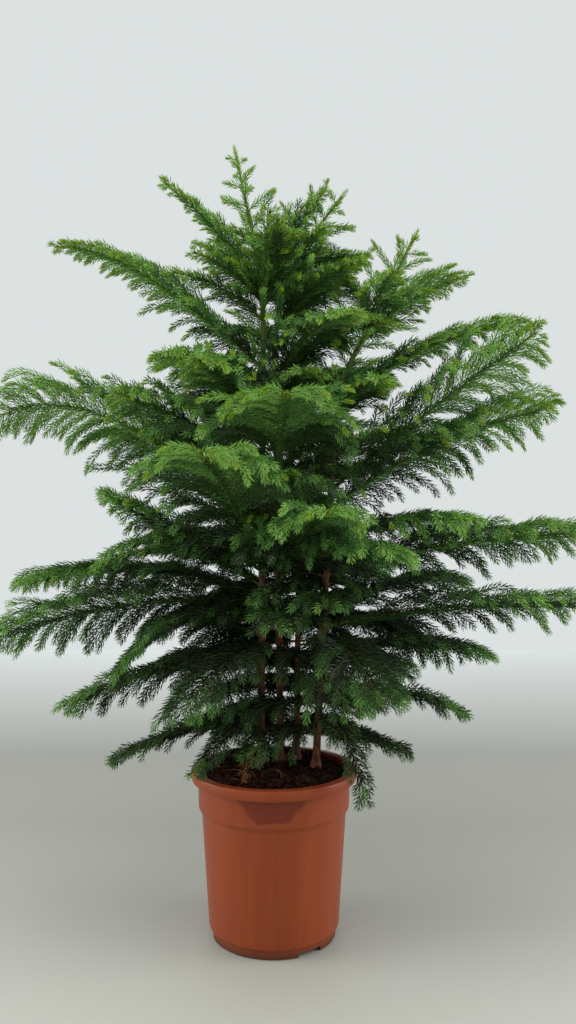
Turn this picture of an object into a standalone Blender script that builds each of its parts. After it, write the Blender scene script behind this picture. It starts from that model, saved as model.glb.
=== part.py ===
"""A potted Norfolk Island pine: four slender stems in one moulded pot, with whorls of flat fronds.

The origin is the middle of the pot's flat underside. -Y is the plant's front, +X its right side.
"""

import random
from collections import namedtuple
from itertools import combinations
from math import cos, pi, radians, sin

import bmesh
import bpy
from mathutils import Matrix, Vector
from mathutils.bvhtree import BVHTree

# Clearance between solids that touch on the real plant.
GAP = 0.0003

# Pot: a 24 cm moulded plastic growing pot.
POT_HEIGHT = 0.235
POT_RIM_RADIUS = 0.1190
POT_RIM_BAND = 0.015  # height of the rolled rim
POT_LIP_ROUND = 0.0022
POT_NECK_RADIUS = 0.1085  # wall just under the rim
POT_STEP_DROP = 0.055  # from the top down to the step in the wall
POT_STEP_RADIUS = 0.1030  # wall just under the step
POT_STEP_HEIGHT = 0.003
POT_NECK_DRAFT = 0.001  # how much narrower the neck gets down to the step
POT_BASE_RADIUS = 0.0925
POT_BASE_ROUND = 0.004  # height over which the wall turns in to the foot
POT_FOOT_RADIUS = 0.0880
POT_FOOT_HEIGHT = 0.011
POT_FOOT_WIDTH = 0.011
POT_WALL = 0.0022
POT_FLOOR = 0.0115  # top of the floor above the ground
POT_RECESS = 0.0090  # height of the hollow under the floor
POT_PAD_RADIUS = 0.022  # round pad in the middle of the underside
POT_TURN_STEPS = 34
NOTCH_COUNT = 3  # drainage notches through the foot ring
NOTCH_FIRST = -55  # azimuth of the first one
NOTCH_WIDTH = 0.036
NOTCH_HEIGHT = 0.0065
NOTCH_OVERCUT = 0.004

# Soil: moist dark peat that fills the pot, its top a low mound with a level middle.
SOIL_LEVEL = 0.232
SOIL_LEVEL_RADIUS = 0.076
SOIL_EDGE = 0.222
SOIL_CLEARANCE = 0.0012  # to the pot's wall, whose flat facets lie inside its circle
SOIL_TURN_STEPS = 28

# Limbs.
STEM_RINGS = 12
STEM_SIDES = 6
STEM_FLARE = 0.0035  # how much wider the foot is than the stem
STEM_FLARE_HEIGHT = 0.022
BOUGH_RINGS = 4
BOUGH_SIDES = 6
BOUGH_ROOT_RADIUS = 0.0040
BOUGH_TIP_RADIUS = 0.0032
TWIG_SIDES = 3
TWIG_RING_SPACING = 0.055
TWIG_ROOT_RADIUS = 0.0036
TWIG_TIP_RADIUS = 0.0014
LEADER_RINGS = 3
LEADER_GAP = 0.0007  # along the bent path, so that the tilted end faces stay GAP apart
PATH_STEPS = 24
SEAT_GUIDES = 2
SEAT_TRIES = 12
SEAT_SAMPLES = 6
CAP_WELD = 0.00002

# Sprays of needles: toothed blades along both sides of a twig.
SPRAY_SPACING = 0.0350  # along the twig, the sides taking turns
SPRAY_HALF_WIDTH = 0.0250
SPRAY_SLENDER = 0.26  # most half width as a share of the length
SPRAY_ROOT_HALF_WIDTH = 0.0018
SPRAY_THICKNESS = 0.0022
SPRAY_SHORTEST = 0.018
SPRAY_TWO_TEETH = 0.078  # a longer spray has two teeth a side, a shorter one has one
SPRAY_FORWARD_ROOT = 60  # angle from the twig at the spray's root
SPRAY_TURN = -26  # how far the spray has turned towards the twig's tip at its own tip
SPRAY_DROOP = 28  # how far the spray's tip has bent down
SPRAY_RUNS = 6
TOOTH_LEAN = 0.06  # how far a tooth's point lies ahead of its notch, as a share of the spray
TOOTH_TAPER = 0.22  # how much narrower each tooth is than the one before
NOTCH_DEPTH = 0.64
RIDGE_BACK = 0.13  # how far the ridge's points lie behind the notches
TIP_SPRAY = 0.030
TIP_DROOP = 10
SPRAY_CLEARANCE = 0.0006
LEADER_SPRAY_SPACING = 0.012
LEADER_SPRAY_ROOT = 0.048
LEADER_SPRAY_TIP = 0.028
LEADER_FORWARD = 50
LEADER_TUFT = ((0.92, 0.030, 20), (0.86, 0.024, 110))  # share of the leader, length, angle round it
GOLDEN_ANGLE = 137.5
SEED = 7

# A spray that would touch something is tried again shorter, higher or lower: (share of length, droop).
SPRAY_TRIES = ((1, 0), (0.8, 0), (0.8, -14), (0.65, 0), (0.65, 14), (0.5, 0))

Stem = namedtuple(
    "Stem", "foot length radius tip_radius low_lean top_lean bend_start bend_span toward leader"
)

# Each stem leans a little from its foot, then bends over towards one side higher up.
STEMS = {
    "left": Stem((-0.0195, 0.030), 0.780, 0.0056, 0.0030, -0.3, 12, 0.60, 0.20, 180, 0.120),
    "middle": Stem((0.0095, 0.040), 0.765, 0.0052, 0.0028, -0.9, 38, 0.56, 0.28, 0, 0.100),
    "right": Stem((0.0600, 0.010), 0.715, 0.0056, 0.0030, 3.2, 27, 0.48, 0.13, 0, 0.082),
    "back": Stem((0.0330, 0.052), 0.500, 0.0050, 0.0028, 5.0, 20, 0.20, 0.30, 84, 0.100),
}

Frond = namedtuple("Frond", "name stem height azimuth length rise fall late roll spray bare")

# Azimuth: 0 to the right, 90 to the rear, 180 to the left, 270 to the front. A frond leaves its stem
# at its rise and has bent to its fall at its tip, both in degrees above level. Late is 1 for an even
# bend and more for one that comes near the tip. Roll turns the flat of the frond about its twig.
# Spray is the length of its longest sprays. Bare is the length of the bough that carries it, 0 where
# the needles begin at the stem.
FRONDS = [
    Frond("left_1_side", "left", 0.292, 191, 0.215, 4, -27, 1, 25, 0.070, 0),
    Frond("left_1_front", "left", 0.302, 236, 0.165, 2, -40, 1, 0, 0.055, 0),
    Frond("left_2_side", "left", 0.385, 190, 0.285, 2, -26, 1, 30, 0.095, 0),
    Frond("left_2_front", "left", 0.400, 243, 0.220, 6, -36, 1, 10, 0.090, 0),
    Frond("left_2_rear", "left", 0.370, 128, 0.270, 10, -22, 1, 0, 0.100, 0),
    Frond("left_3_side", "left", 0.468, 181, 0.405, 6, -22, 1, 38, 0.115, 0.070),
    Frond("left_3_far", "left", 0.478, 158, 0.435, 17, -16, 1, 15, 0.105, 0),
    Frond("left_3_upper", "left", 0.500, 173, 0.270, 26, 30, 1, 30, 0.090, 0),
    Frond("left_3_front", "left", 0.505, 257, 0.335, 46, 14, 1, 0, 0.165, 0),
    Frond("left_3_rear", "left", 0.520, 122, 0.340, 22, -8, 1, 0, 0.115, 0),
    Frond("left_4_side", "left", 0.585, 177, 0.455, 38, -32, 3, 48, 0.125, 0.075),
    Frond("left_4_front", "left", 0.655, 208, 0.250, 39, 12, 1, 25, 0.095, 0),
    Frond("left_4_rear", "left", 0.635, 142, 0.330, 34, 0, 1, 0, 0.110, 0),
    Frond("left_5_side", "left", 0.812, 182, 0.355, 40, 0, 3, 16, 0.095, 0),
    Frond("left_5_front", "left", 0.719, 232, 0.230, 52, -6, 1, 10, 0.095, 0),
    Frond("left_5_rear", "left", 0.745, 118, 0.280, 46, 6, 1, 0, 0.095, 0),
    Frond("left_6_side", "left", 0.920, 187, 0.215, 60, 36, 1, 15, 0.055, 0),
    Frond("left_6_front", "left", 0.895, 277, 0.160, 66, 26, 1, 0, 0.060, 0),
    Frond("left_7_right", "left", 0.940, 6, 0.170, 56, 54, 1, -30, 0.065, 0),
    Frond("middle_1_front", "middle", 0.400, 300, 0.200, 4, -40, 1, 0, 0.090, 0),
    Frond("middle_2_front", "middle", 0.485, 282, 0.325, 36, 6, 1, 0, 0.120, 0.060),
    Frond("middle_2_right", "middle", 0.500, 301, 0.290, 28, -6, 1, -10, 0.110, 0),
    Frond("middle_3_front", "middle", 0.600, 273, 0.315, 46, 8, 1, 0, 0.165, 0),
    Frond("middle_4_front", "middle", 0.790, 301, 0.225, 44, -8, 1, 0, 0.090, 0),
    Frond("middle_5_front", "middle", 0.905, 268, 0.150, 58, 20, 1, 0, 0.060, 0),
    Frond("middle_5_rear", "middle", 0.895, 100, 0.190, 52, 16, 1, 0, 0.070, 0),
    Frond("middle_5_right", "middle", 0.870, 16, 0.190, 44, 36, 1, -30, 0.070, 0),
    Frond("right_1_side", "right", 0.327, 349, 0.215, 22, -28, 1, -25, 0.065, 0),
    Frond("right_1_front", "right", 0.305, 293, 0.185, 14, -76, 1, 0, 0.055, 0),
    Frond("right_2_side", "right", 0.390, 19, 0.275, 14, -20, 1, -25, 0.090, 0),
    Frond("right_2_front", "right", 0.420, 288, 0.220, 4, -34, 1, 0, 0.090, 0),
    Frond("right_3_side", "right", 0.434, 356, 0.395, 13, -3, 1, -28, 0.105, 0.065),
    Frond("right_3_rear", "right", 0.450, 42, 0.310, 22, -6, 1, 0, 0.105, 0),
    Frond("right_4_side", "right", 0.517, 0, 0.400, 15, 0, 1, -30, 0.110, 0.065),
    Frond("right_4_front", "right", 0.555, 322, 0.230, 24, -6, 1, 0, 0.090, 0),
    Frond("right_5_lower", "right", 0.606, 8, 0.375, 36, 12, 1, -38, 0.105, 0),
    Frond("right_5_upper", "right", 0.632, 349, 0.360, 40, 34, 1, -42, 0.110, 0.060),
    Frond("right_6_side", "right", 0.751, 1, 0.308, 43, 6, 1, -15, 0.085, 0),
    Frond("right_6_rear", "right", 0.735, 78, 0.270, 42, 4, 1, 0, 0.095, 0),
    Frond("right_7_side", "right", 0.840, 8, 0.195, 52, 14, 1, -20, 0.085, 0),
    Frond("back_1_rear", "back", 0.360, 96, 0.260, 8, -24, 1, 0, 0.100, 0),
    Frond("back_2_right", "back", 0.470, 62, 0.330, 24, -8, 1, 0, 0.115, 0),
    Frond("back_3_left", "back", 0.560, 104, 0.310, 34, 0, 1, 0, 0.110, 0),
    Frond("back_4_right", "back", 0.640, 48, 0.290, 38, 4, 1, 0, 0.105, 0),
]

COLOURS = {
    # name: (red, green, blue, roughness), the colour linear
    "pot": (0.200, 0.048, 0.020, 0.55),
    "soil": (0.012, 0.006, 0.004, 0.95),
    "bark": (0.095, 0.036, 0.018, 0.85),
    "foliage": (0.050, 0.105, 0.030, 0.60),
}


def new_collection(name):
    collection = bpy.data.collections.new(name)
    bpy.context.scene.collection.children.link(collection)
    return collection


def new_material(name):
    red, green, blue, roughness = COLOURS[name]
    material = bpy.data.materials.new(name)
    material.use_nodes = True
    shader = material.node_tree.nodes["Principled BSDF"]
    shader.inputs["Base Color"].default_value = (red, green, blue, 1)
    shader.inputs["Roughness"].default_value = roughness
    shader.inputs["Metallic"].default_value = 0
    return material


def new_object(name, data, collection, material=None):
    obj = bpy.data.objects.new(name, data)
    collection.objects.link(obj)
    if material:
        data.materials.clear()
        data.materials.append(material)
    return obj


def evaluated_mesh(obj):
    bpy.context.view_layer.update()
    graph = bpy.context.evaluated_depsgraph_get()
    return bpy.data.meshes.new_from_object(obj.evaluated_get(graph))


def tree_of(mesh):
    return BVHTree.FromPolygons([v.co for v in mesh.vertices], [p.vertices for p in mesh.polygons])


def direction(azimuth, slope):
    turn, tilt = radians(azimuth), radians(slope)
    return Vector((cos(tilt) * cos(turn), cos(tilt) * sin(turn), sin(tilt)))


def along(path, distance):
    """The point and the direction at this distance along an evenly stepped path."""
    step = (path[1] - path[0]).length
    index = min(int(distance / step), len(path) - 2)
    run = (path[index + 1] - path[index]).normalized()
    return path[index] + run * (distance - index * step), run


def on_twig(twig, part_way):
    """The point and the direction at this share of a twig's straight runs."""
    place = part_way * (len(twig) - 1)
    index = min(int(place), len(twig) - 2)
    step = twig[index + 1] - twig[index]
    return twig[index] + step * (place - index), step.normalized()


def stretch(path, start, end, count):
    """Evenly spaced points of the path between two distances."""
    return [along(path, start + (end - start) * i / count)[0] for i in range(count + 1)]


def tapered(root, tip, count):
    """Radii that fall evenly from a limb's root to its tip."""
    return [root + (tip - root) * i / count for i in range(count + 1)]


def stem_path(stem):
    """Points of a stem and its leader, from the foot up."""
    count = 2 * PATH_STEPS
    step = (stem.length + stem.leader) / count
    points = [Vector((*stem.foot, SOIL_LEVEL + GAP))]
    for i in range(count):
        bend = min(1, max(0, ((i + 0.5) * step - stem.bend_start) / stem.bend_span))
        bend = bend * bend * (3 - 2 * bend)
        lean = stem.low_lean + (stem.top_lean - stem.low_lean) * bend
        points.append(points[-1] + step * direction(stem.toward, 90 - lean))
    return points


def frond_path(frond, stem_points):
    """Points along the middle of a frond, from its stem's axis to its tip."""
    start = next(a + (b - a) * ((frond.height - a.z) / (b.z - a.z))
                 for a, b in zip(stem_points, stem_points[1:]) if b.z > frond.height)
    step = frond.length / PATH_STEPS
    points = [start]
    for i in range(PATH_STEPS):
        bend = ((i + 0.5) / PATH_STEPS) ** frond.late
        slope = frond.rise + (frond.fall - frond.rise) * bend
        points.append(points[-1] + step * direction(frond.azimuth, slope))
    return points


def flat_side(run, roll):
    """The direction across a frond: level, then turned about the twig by its roll."""
    level = run.cross(Vector((0, 0, 1))).normalized()
    return Matrix.Rotation(radians(roll), 3, run) @ level


def spray_length(frond, part_way):
    """Length of the sprays at this share of the frond: short by the stem, longest before the middle."""
    return frond.spray * min(1.2, 0.6 + 2.4 * part_way) * (1 - part_way) ** 0.4


def turned(name, profile, steps, collection, material):
    """A closed shape turned about the Z axis from a profile that starts and ends on the axis."""
    mesh = bpy.data.meshes.new(name)
    edges = [(i, i + 1) for i in range(len(profile) - 1)]
    mesh.from_pydata([(radius, 0, height) for radius, height in profile], edges, [])
    obj = new_object(name, mesh, collection, material)
    screw = obj.modifiers.new("turn", "SCREW")
    screw.steps = steps
    screw.render_steps = steps
    screw.use_merge_vertices = True
    screw.merge_threshold = CAP_WELD
    return obj


def make_pot(collection, cutters, material):
    """The pot, turned from its section and notched through the foot ring."""
    top = POT_HEIGHT
    step_top = top - POT_STEP_DROP
    step_foot = step_top - POT_STEP_HEIGHT
    inner_neck = POT_NECK_RADIUS - POT_WALL
    foot_inner = POT_FOOT_RADIUS - POT_FOOT_WIDTH
    profile = [
        (0, POT_FLOOR),
        (POT_BASE_RADIUS - 2 * POT_WALL, POT_FLOOR),
        (POT_STEP_RADIUS - POT_WALL, step_foot),
        (inner_neck, step_top),
        (inner_neck, top - POT_LIP_ROUND),
        (inner_neck + POT_LIP_ROUND, top),
        (POT_RIM_RADIUS - POT_LIP_ROUND, top),
        (POT_RIM_RADIUS, top - POT_LIP_ROUND),
        (POT_RIM_RADIUS - POT_LIP_ROUND / 2, top - POT_RIM_BAND),
        (POT_NECK_RADIUS, top - POT_RIM_BAND),
        (POT_NECK_RADIUS - POT_NECK_DRAFT, step_top),
        (POT_STEP_RADIUS, step_foot),
        (POT_BASE_RADIUS, POT_FOOT_HEIGHT + POT_BASE_ROUND),
        (POT_FOOT_RADIUS, POT_FOOT_HEIGHT),
        (POT_FOOT_RADIUS, 0),
        (foot_inner, 0),
        (foot_inner, POT_RECESS),
        (POT_PAD_RADIUS, POT_RECESS),
        (POT_PAD_RADIUS, 0),
        (0, 0),
    ]
    pot = turned("pot", profile, POT_TURN_STEPS, collection, material)
    for i in range(NOTCH_COUNT):
        cutters.objects.link(notch_cutter(i))
    cut = pot.modifiers.new("drainage notches", "BOOLEAN")
    cut.operation = "DIFFERENCE"
    cut.operand_type = "COLLECTION"
    cut.collection = cutters
    cut.solver = "EXACT"
    return pot


def notch_cutter(index):
    angle = radians(NOTCH_FIRST) + 2 * pi * index / NOTCH_COUNT
    middle = POT_FOOT_RADIUS - POT_FOOT_WIDTH / 2
    bpy.ops.mesh.primitive_cube_add(size=1)
    cutter = bpy.context.object
    cutter.name = f"notch_cutter_{index + 1}"
    cutter.location = (middle * cos(angle), middle * sin(angle), (NOTCH_HEIGHT - NOTCH_OVERCUT) / 2)
    cutter.rotation_euler = (0, 0, angle)
    cutter.scale = (2 * POT_FOOT_WIDTH, NOTCH_WIDTH, NOTCH_HEIGHT + NOTCH_OVERCUT)
    cutter.hide_render = True
    cutter.display_type = "WIRE"
    for home in cutter.users_collection:
        home.objects.unlink(cutter)
    return cutter


def make_soil(collection, material):
    """The soil, a turned solid that fills the pot and stands clear of its wall and floor."""
    step_top = POT_HEIGHT - POT_STEP_DROP
    inner_neck = POT_NECK_RADIUS - POT_WALL - SOIL_CLEARANCE
    profile = [
        (0, SOIL_LEVEL),
        (SOIL_LEVEL_RADIUS, SOIL_LEVEL),
        (inner_neck, SOIL_EDGE),
        (inner_neck, step_top),
        (POT_STEP_RADIUS - POT_WALL - SOIL_CLEARANCE, step_top - POT_STEP_HEIGHT),
        (POT_BASE_RADIUS - 2 * POT_WALL - SOIL_CLEARANCE, POT_FLOOR + GAP),
        (0, POT_FLOOR + GAP),
    ]
    return turned("soil", profile, SOIL_TURN_STEPS, collection, material)


def section_of(sides, collection):
    """A guide with this many sides and a radius of 1, swept along a limb's curve."""
    section = bpy.data.curves.new("section", "CURVE")
    ring = section.splines.new("POLY")
    ring.points.add(sides - 1)
    for i, point in enumerate(ring.points):
        point.co = (cos(2 * pi * i / sides), sin(2 * pi * i / sides), 0, 1)
    ring.use_cyclic_u = True
    return new_object("section", section, collection)


def limb(name, points, radii, sides, collection, material=None):
    """A tapering tube through these points, as a closed mesh."""
    curve = bpy.data.curves.new(name, "CURVE")
    curve.dimensions = "3D"
    curve.use_fill_caps = True
    spline = curve.splines.new("POLY")
    spline.points.add(len(points) - 1)
    for point, place, radius in zip(spline.points, points, radii):
        point.co = (*place, 1)
        point.radius = radius
    section = section_of(sides, collection)
    curve.bevel_mode = "OBJECT"
    curve.bevel_object = section
    tube = new_object(name, curve, collection)
    mesh = evaluated_mesh(tube)
    for guide in (tube, section):
        data = guide.data
        bpy.data.objects.remove(guide)
        bpy.data.curves.remove(data)
    shape = bmesh.new()
    shape.from_mesh(mesh)
    bmesh.ops.remove_doubles(shape, verts=shape.verts, dist=CAP_WELD)
    bmesh.ops.recalc_face_normals(shape, faces=shape.faces)
    shape.to_mesh(mesh)
    shape.free()
    mesh.shade_smooth()
    mesh.set_sharp_from_angle(angle=radians(50))
    return new_object(name, mesh, collection, material)


def make_stem(name, stem, path, collection, material):
    """One stem, flared at its flat foot and tapering to where its leader begins."""
    marks = [0, STEM_FLARE_HEIGHT / 2, STEM_FLARE_HEIGHT]
    rest = stem.length - STEM_FLARE_HEIGHT
    marks += [STEM_FLARE_HEIGHT + rest * (i + 1) / STEM_RINGS for i in range(STEM_RINGS)]
    points = [along(path, mark)[0] for mark in marks]
    radii = []
    for mark in marks:
        flare = STEM_FLARE * max(0, 1 - mark / STEM_FLARE_HEIGHT) ** 2
        radii.append(stem.radius + (stem.tip_radius - stem.radius) * mark / stem.length + flare)
    obj = limb(name + "_stem", points, radii, STEM_SIDES, collection, material)
    for vertex in obj.data.vertices:
        if vertex.co.z < SOIL_LEVEL + STEM_FLARE_HEIGHT / 4:
            vertex.co.z = SOIL_LEVEL + GAP  # the flat cut at ground level
    return obj


def clearance_of(corners, middle, tree):
    """Clearance between a limb's flat end, its corners given from its middle, and a solid."""
    clear = []
    for first, second in combinations(corners, 2):
        for i in range(SEAT_SAMPLES + 1):
            for inward in (1, 0.6, 0.3):
                point = middle + first.lerp(second, i / SEAT_SAMPLES) * inward
                near, normal, _, reach = tree.find_nearest(point)
                clear.append(reach if (point - near).dot(normal) > 0 else -reach)
    return min(clear)


def seat(path, end, radii, sides, tree, collection):
    """Where a limb on this path begins, GAP clear of its stem, and its points from there to the end."""
    start = radii[0]
    for _ in range(SEAT_GUIDES):
        points = stretch(path, start, end, len(radii) - 1)
        guide = limb("guide", points, radii, sides, collection)
        corners = [v.co - points[0] for v in guide.data.vertices
                   if (v.co - points[0]).length < 1.5 * radii[0]]
        bpy.data.objects.remove(guide)
        for _ in range(SEAT_TRIES):
            start += GAP - clearance_of(corners, along(path, start)[0], tree)
    return start, stretch(path, start, end, len(radii) - 1)


def spray_spine(root, run, across, length, forward, droop):
    """Points and directions along the middle of a spray, which turns forward and sinks."""
    points, ways = [Vector(root)], []
    for i in range(SPRAY_RUNS):
        share = (i + 0.5) / SPRAY_RUNS
        angle = radians(forward + SPRAY_TURN * share)
        sink = radians(droop * share)
        way = cos(sink) * (cos(angle) * run + sin(angle) * across) - sin(sink) * Vector((0, 0, 1))
        ways.append(way.normalized())
        points.append(points[-1] + ways[-1] * length / SPRAY_RUNS)
    return points, ways


def make_spray(place, share, lift, clearance=0.0):
    """A toothed blade, thick along its middle and thin at its edges."""
    root, run, across, length, forward, droop = place
    length *= share
    teeth = 2 if length > SPRAY_TWO_TEETH else 1
    half_width = min(SPRAY_HALF_WIDTH, SPRAY_SLENDER * length) + clearance
    points, ways = spray_spine(root, run, across, length, forward, droop + lift)
    up = across.cross(run).normalized()
    blade = bmesh.new()

    def corner(part_way, aside, above=0.0):
        index = min(int(part_way * SPRAY_RUNS), SPRAY_RUNS - 1)
        middle = points[index].lerp(points[index + 1], part_way * SPRAY_RUNS - index)
        return blade.verts.new(middle + ways[index].cross(up).normalized() * aside + up * above)

    edges = {1: [], -1: []}
    tip = corner(1.0, 0)
    for side, edge in edges.items():
        edge.append(corner(0.0, side * SPRAY_ROOT_HALF_WIDTH))
        for i in range(teeth):
            notch = (i + 1) / (teeth + 0.45)
            width = side * half_width * (1 - TOOTH_TAPER * i)
            edge.append(corner(notch + TOOTH_LEAN, width))
            edge.append(corner(notch, (1 - NOTCH_DEPTH) * width))
        edge.append(tip)
    # Each face joins a run of the outline to the ridge, once above the blade and once below it.
    for height in (SPRAY_THICKNESS / 2 + clearance, -SPRAY_THICKNESS / 2 - clearance):
        ridge = [corner((i + 1) / (teeth + 0.45) - RIDGE_BACK, 0, height) for i in range(teeth)]
        blade.faces.new((edges[1][0], edges[-1][0], ridge[0]))
        for edge in edges.values():
            for i in range(len(edge) - 1):
                blade.faces.new((edge[i], edge[i + 1], ridge[min(i // 2, teeth - 1)]))
            for i in range(1, teeth):
                blade.faces.new((edge[2 * i], ridge[i - 1], ridge[i]))
    bmesh.ops.recalc_face_normals(blade, faces=blade.faces)
    return blade


def spray_places(frond, twig, start, draw):
    """Root, twig direction, crosswise direction, length and angles of every spray on a frond."""
    count = max(4, round((frond.length - start) / SPRAY_SPACING))
    places = []
    for i in range(count):
        part_way = 0.03 + 0.93 * (i + 0.5) / count
        root, run = on_twig(twig, part_way)
        across = (1 if i % 2 else -1) * flat_side(run, frond.roll)
        share = (start + (frond.length - start) * part_way) / frond.length
        length = spray_length(frond, share) * draw.uniform(0.92, 1.06)
        forward = SPRAY_FORWARD_ROOT + draw.uniform(-4, 4)
        droop = SPRAY_DROOP * draw.uniform(0.7, 1.3)
        places.append((root, run, across, max(length, SPRAY_SHORTEST), forward, droop))
    root, run = on_twig(twig, 0.98)
    places.append((root, run, flat_side(run, frond.roll), TIP_SPRAY, 0, TIP_DROOP))
    return places


def leader_places(stem, twig, draw):
    """Sprays all round a leader, one after another a golden angle on, and a tuft at its tip."""
    count = round(stem.leader / LEADER_SPRAY_SPACING)
    places = []
    for i in range(count):
        part_way = 0.08 + 0.82 * (i + 0.5) / count
        root, run = on_twig(twig, part_way)
        level = run.cross(Vector((0, 1, 0))).normalized()
        across = Matrix.Rotation(radians(GOLDEN_ANGLE * i), 3, run) @ level
        length = LEADER_SPRAY_ROOT + (LEADER_SPRAY_TIP - LEADER_SPRAY_ROOT) * part_way
        places.append((root, run, across, length * draw.uniform(0.9, 1.1), LEADER_FORWARD, 0))
    for part_way, length, angle in LEADER_TUFT:
        root, run = on_twig(twig, part_way)
        level = run.cross(Vector((0, 1, 0))).normalized()
        across = Matrix.Rotation(radians(angle), 3, run) @ level
        places.append((root, run, across, length, 0, 0))
    return places


def drop_scraps(mesh):
    """Keeps the largest joined body of a mesh."""
    shape = bmesh.new()
    shape.from_mesh(mesh)
    left, bodies = set(shape.verts), []
    while left:
        body, front = [], [left.pop()]
        while front:
            vertex = front.pop()
            body.append(vertex)
            for edge in vertex.link_edges:
                other = edge.other_vert(vertex)
                if other in left:
                    left.discard(other)
                    front.append(other)
        bodies.append(body)
    bodies.sort(key=len)
    for scrap in bodies[:-1]:
        bmesh.ops.delete(shape, geom=scrap, context="VERTS")
    shape.to_mesh(mesh)
    shape.free()


def fuse(name, twig, blades, collection, material):
    """Joins a twig and its blades into one closed solid."""
    union = twig.modifiers.new("sprays", "BOOLEAN")
    union.operation = "UNION"
    union.operand_type = "COLLECTION"
    union.collection = blades
    union.solver = "EXACT"
    mesh = evaluated_mesh(twig)
    drop_scraps(mesh)
    mesh.shade_flat()
    mesh.name = name
    for part in (*blades.objects, twig):
        bpy.data.objects.remove(part)
    return new_object(name, mesh, collection, material)


def grow_mass(name, twig, radii, places, taken, collection, blades, material):
    """One mass of foliage: a twig and the sprays on it that touch nothing of another node."""
    kept = []
    for place in places:
        for share, lift in SPRAY_TRIES:
            trial = make_spray(place, share, lift, SPRAY_CLEARANCE)
            tree = BVHTree.FromBMesh(trial)
            trial.free()
            if any(tree.overlap(other) for other in taken):
                continue
            kept.append(tree)
            mesh = bpy.data.meshes.new(name)
            blade = make_spray(place, share, lift)
            blade.to_mesh(mesh)
            blade.free()
            new_object(name + "_blade", mesh, blades)
            break
    fuse(name, limb(name, twig, radii, TWIG_SIDES, collection), blades, collection, material)
    return kept


def main():
    for obj in list(bpy.data.objects):
        bpy.data.objects.remove(obj)
    plant = new_collection("norfolk_pine")
    cutters = new_collection("cutters")
    blades = new_collection("blades")
    materials = {name: new_material(name) for name in COLOURS}
    foliage = materials["foliage"]

    pot = make_pot(plant, cutters, materials["pot"])
    soil = make_soil(plant, materials["soil"])
    taken = [tree_of(evaluated_mesh(pot)), tree_of(evaluated_mesh(soil))]
    paths, stem_trees = {}, {}
    for name, stem in STEMS.items():
        paths[name] = stem_path(stem)
        obj = make_stem(name, stem, paths[name], plant, materials["bark"])
        stem_trees[name] = tree_of(obj.data)
        taken.append(stem_trees[name])

    # Every limb is in place before any spray, so that the sprays keep clear of all of them.
    masses = []
    for name, stem in STEMS.items():
        twig = stretch(paths[name], stem.length + LEADER_GAP, stem.length + stem.leader, LEADER_RINGS)
        radii = tapered(stem.tip_radius, TWIG_TIP_RADIUS, LEADER_RINGS)
        masses.append((name + "_leader", twig, radii, stem, None))
    for frond in FRONDS:
        path = frond_path(frond, paths[frond.stem])
        tree = stem_trees[frond.stem]
        rings = max(4, round(frond.length / TWIG_RING_SPACING))
        radii = tapered(TWIG_ROOT_RADIUS, TWIG_TIP_RADIUS, rings)
        if frond.bare:
            bough_radii = tapered(BOUGH_ROOT_RADIUS, BOUGH_TIP_RADIUS, BOUGH_RINGS)
            _, points = seat(path, frond.bare, bough_radii, BOUGH_SIDES, tree, plant)
            bough = limb("bough_" + frond.name, points, bough_radii, BOUGH_SIDES, plant, materials["bark"])
            taken.append(tree_of(bough.data))
            start = frond.bare + GAP
            twig = stretch(path, start, frond.length, rings)
        else:
            start, twig = seat(path, frond.length, radii, TWIG_SIDES, tree, plant)
        masses.append((frond.name, twig, radii, frond, start))
    twig_trees = {}
    for name, twig, radii, _, _ in masses:
        guide = limb("guide", twig, radii, TWIG_SIDES, plant)
        twig_trees[name] = tree_of(guide.data)
        bpy.data.objects.remove(guide)

    draw = random.Random(SEED)
    for name, twig, radii, kind, start in masses:
        if start is None:
            places = leader_places(kind, twig, draw)
        else:
            places = spray_places(kind, twig, start, draw)
        others = taken + [tree for other, tree in twig_trees.items() if other != name]
        taken += grow_mass("foliage_" + name, twig, radii, places, others, plant, blades, foliage)
    bpy.data.collections.remove(blades)


main()
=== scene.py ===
import random
from math import atan2, cos, pi, radians, sin, sqrt, tau

import bmesh
import bpy
from mathutils import Matrix, Vector, noise
from mathutils.kdtree import KDTree


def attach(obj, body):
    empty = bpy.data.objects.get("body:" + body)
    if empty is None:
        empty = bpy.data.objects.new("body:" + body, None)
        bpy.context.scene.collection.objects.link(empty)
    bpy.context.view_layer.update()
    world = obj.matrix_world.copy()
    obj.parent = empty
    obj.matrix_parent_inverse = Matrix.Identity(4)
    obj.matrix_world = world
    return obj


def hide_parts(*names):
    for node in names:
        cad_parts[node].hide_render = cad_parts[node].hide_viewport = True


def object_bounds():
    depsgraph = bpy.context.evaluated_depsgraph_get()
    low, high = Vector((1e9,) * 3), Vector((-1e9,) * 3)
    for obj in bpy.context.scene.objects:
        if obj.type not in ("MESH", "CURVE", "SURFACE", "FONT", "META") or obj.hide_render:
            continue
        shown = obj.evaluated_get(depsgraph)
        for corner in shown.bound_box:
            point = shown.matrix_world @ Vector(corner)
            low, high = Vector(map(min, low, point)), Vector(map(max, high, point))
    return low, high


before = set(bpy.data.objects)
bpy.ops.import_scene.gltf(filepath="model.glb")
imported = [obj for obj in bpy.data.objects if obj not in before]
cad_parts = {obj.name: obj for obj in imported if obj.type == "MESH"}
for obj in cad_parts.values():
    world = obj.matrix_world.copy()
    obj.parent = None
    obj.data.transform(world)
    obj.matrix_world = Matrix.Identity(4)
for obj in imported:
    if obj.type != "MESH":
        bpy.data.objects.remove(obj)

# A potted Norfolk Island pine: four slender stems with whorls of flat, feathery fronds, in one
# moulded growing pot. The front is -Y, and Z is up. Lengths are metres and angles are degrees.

cadBox = [list(corner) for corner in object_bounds()]
goldenAngle = 137.5
nodeNames = sorted(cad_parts)
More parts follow.
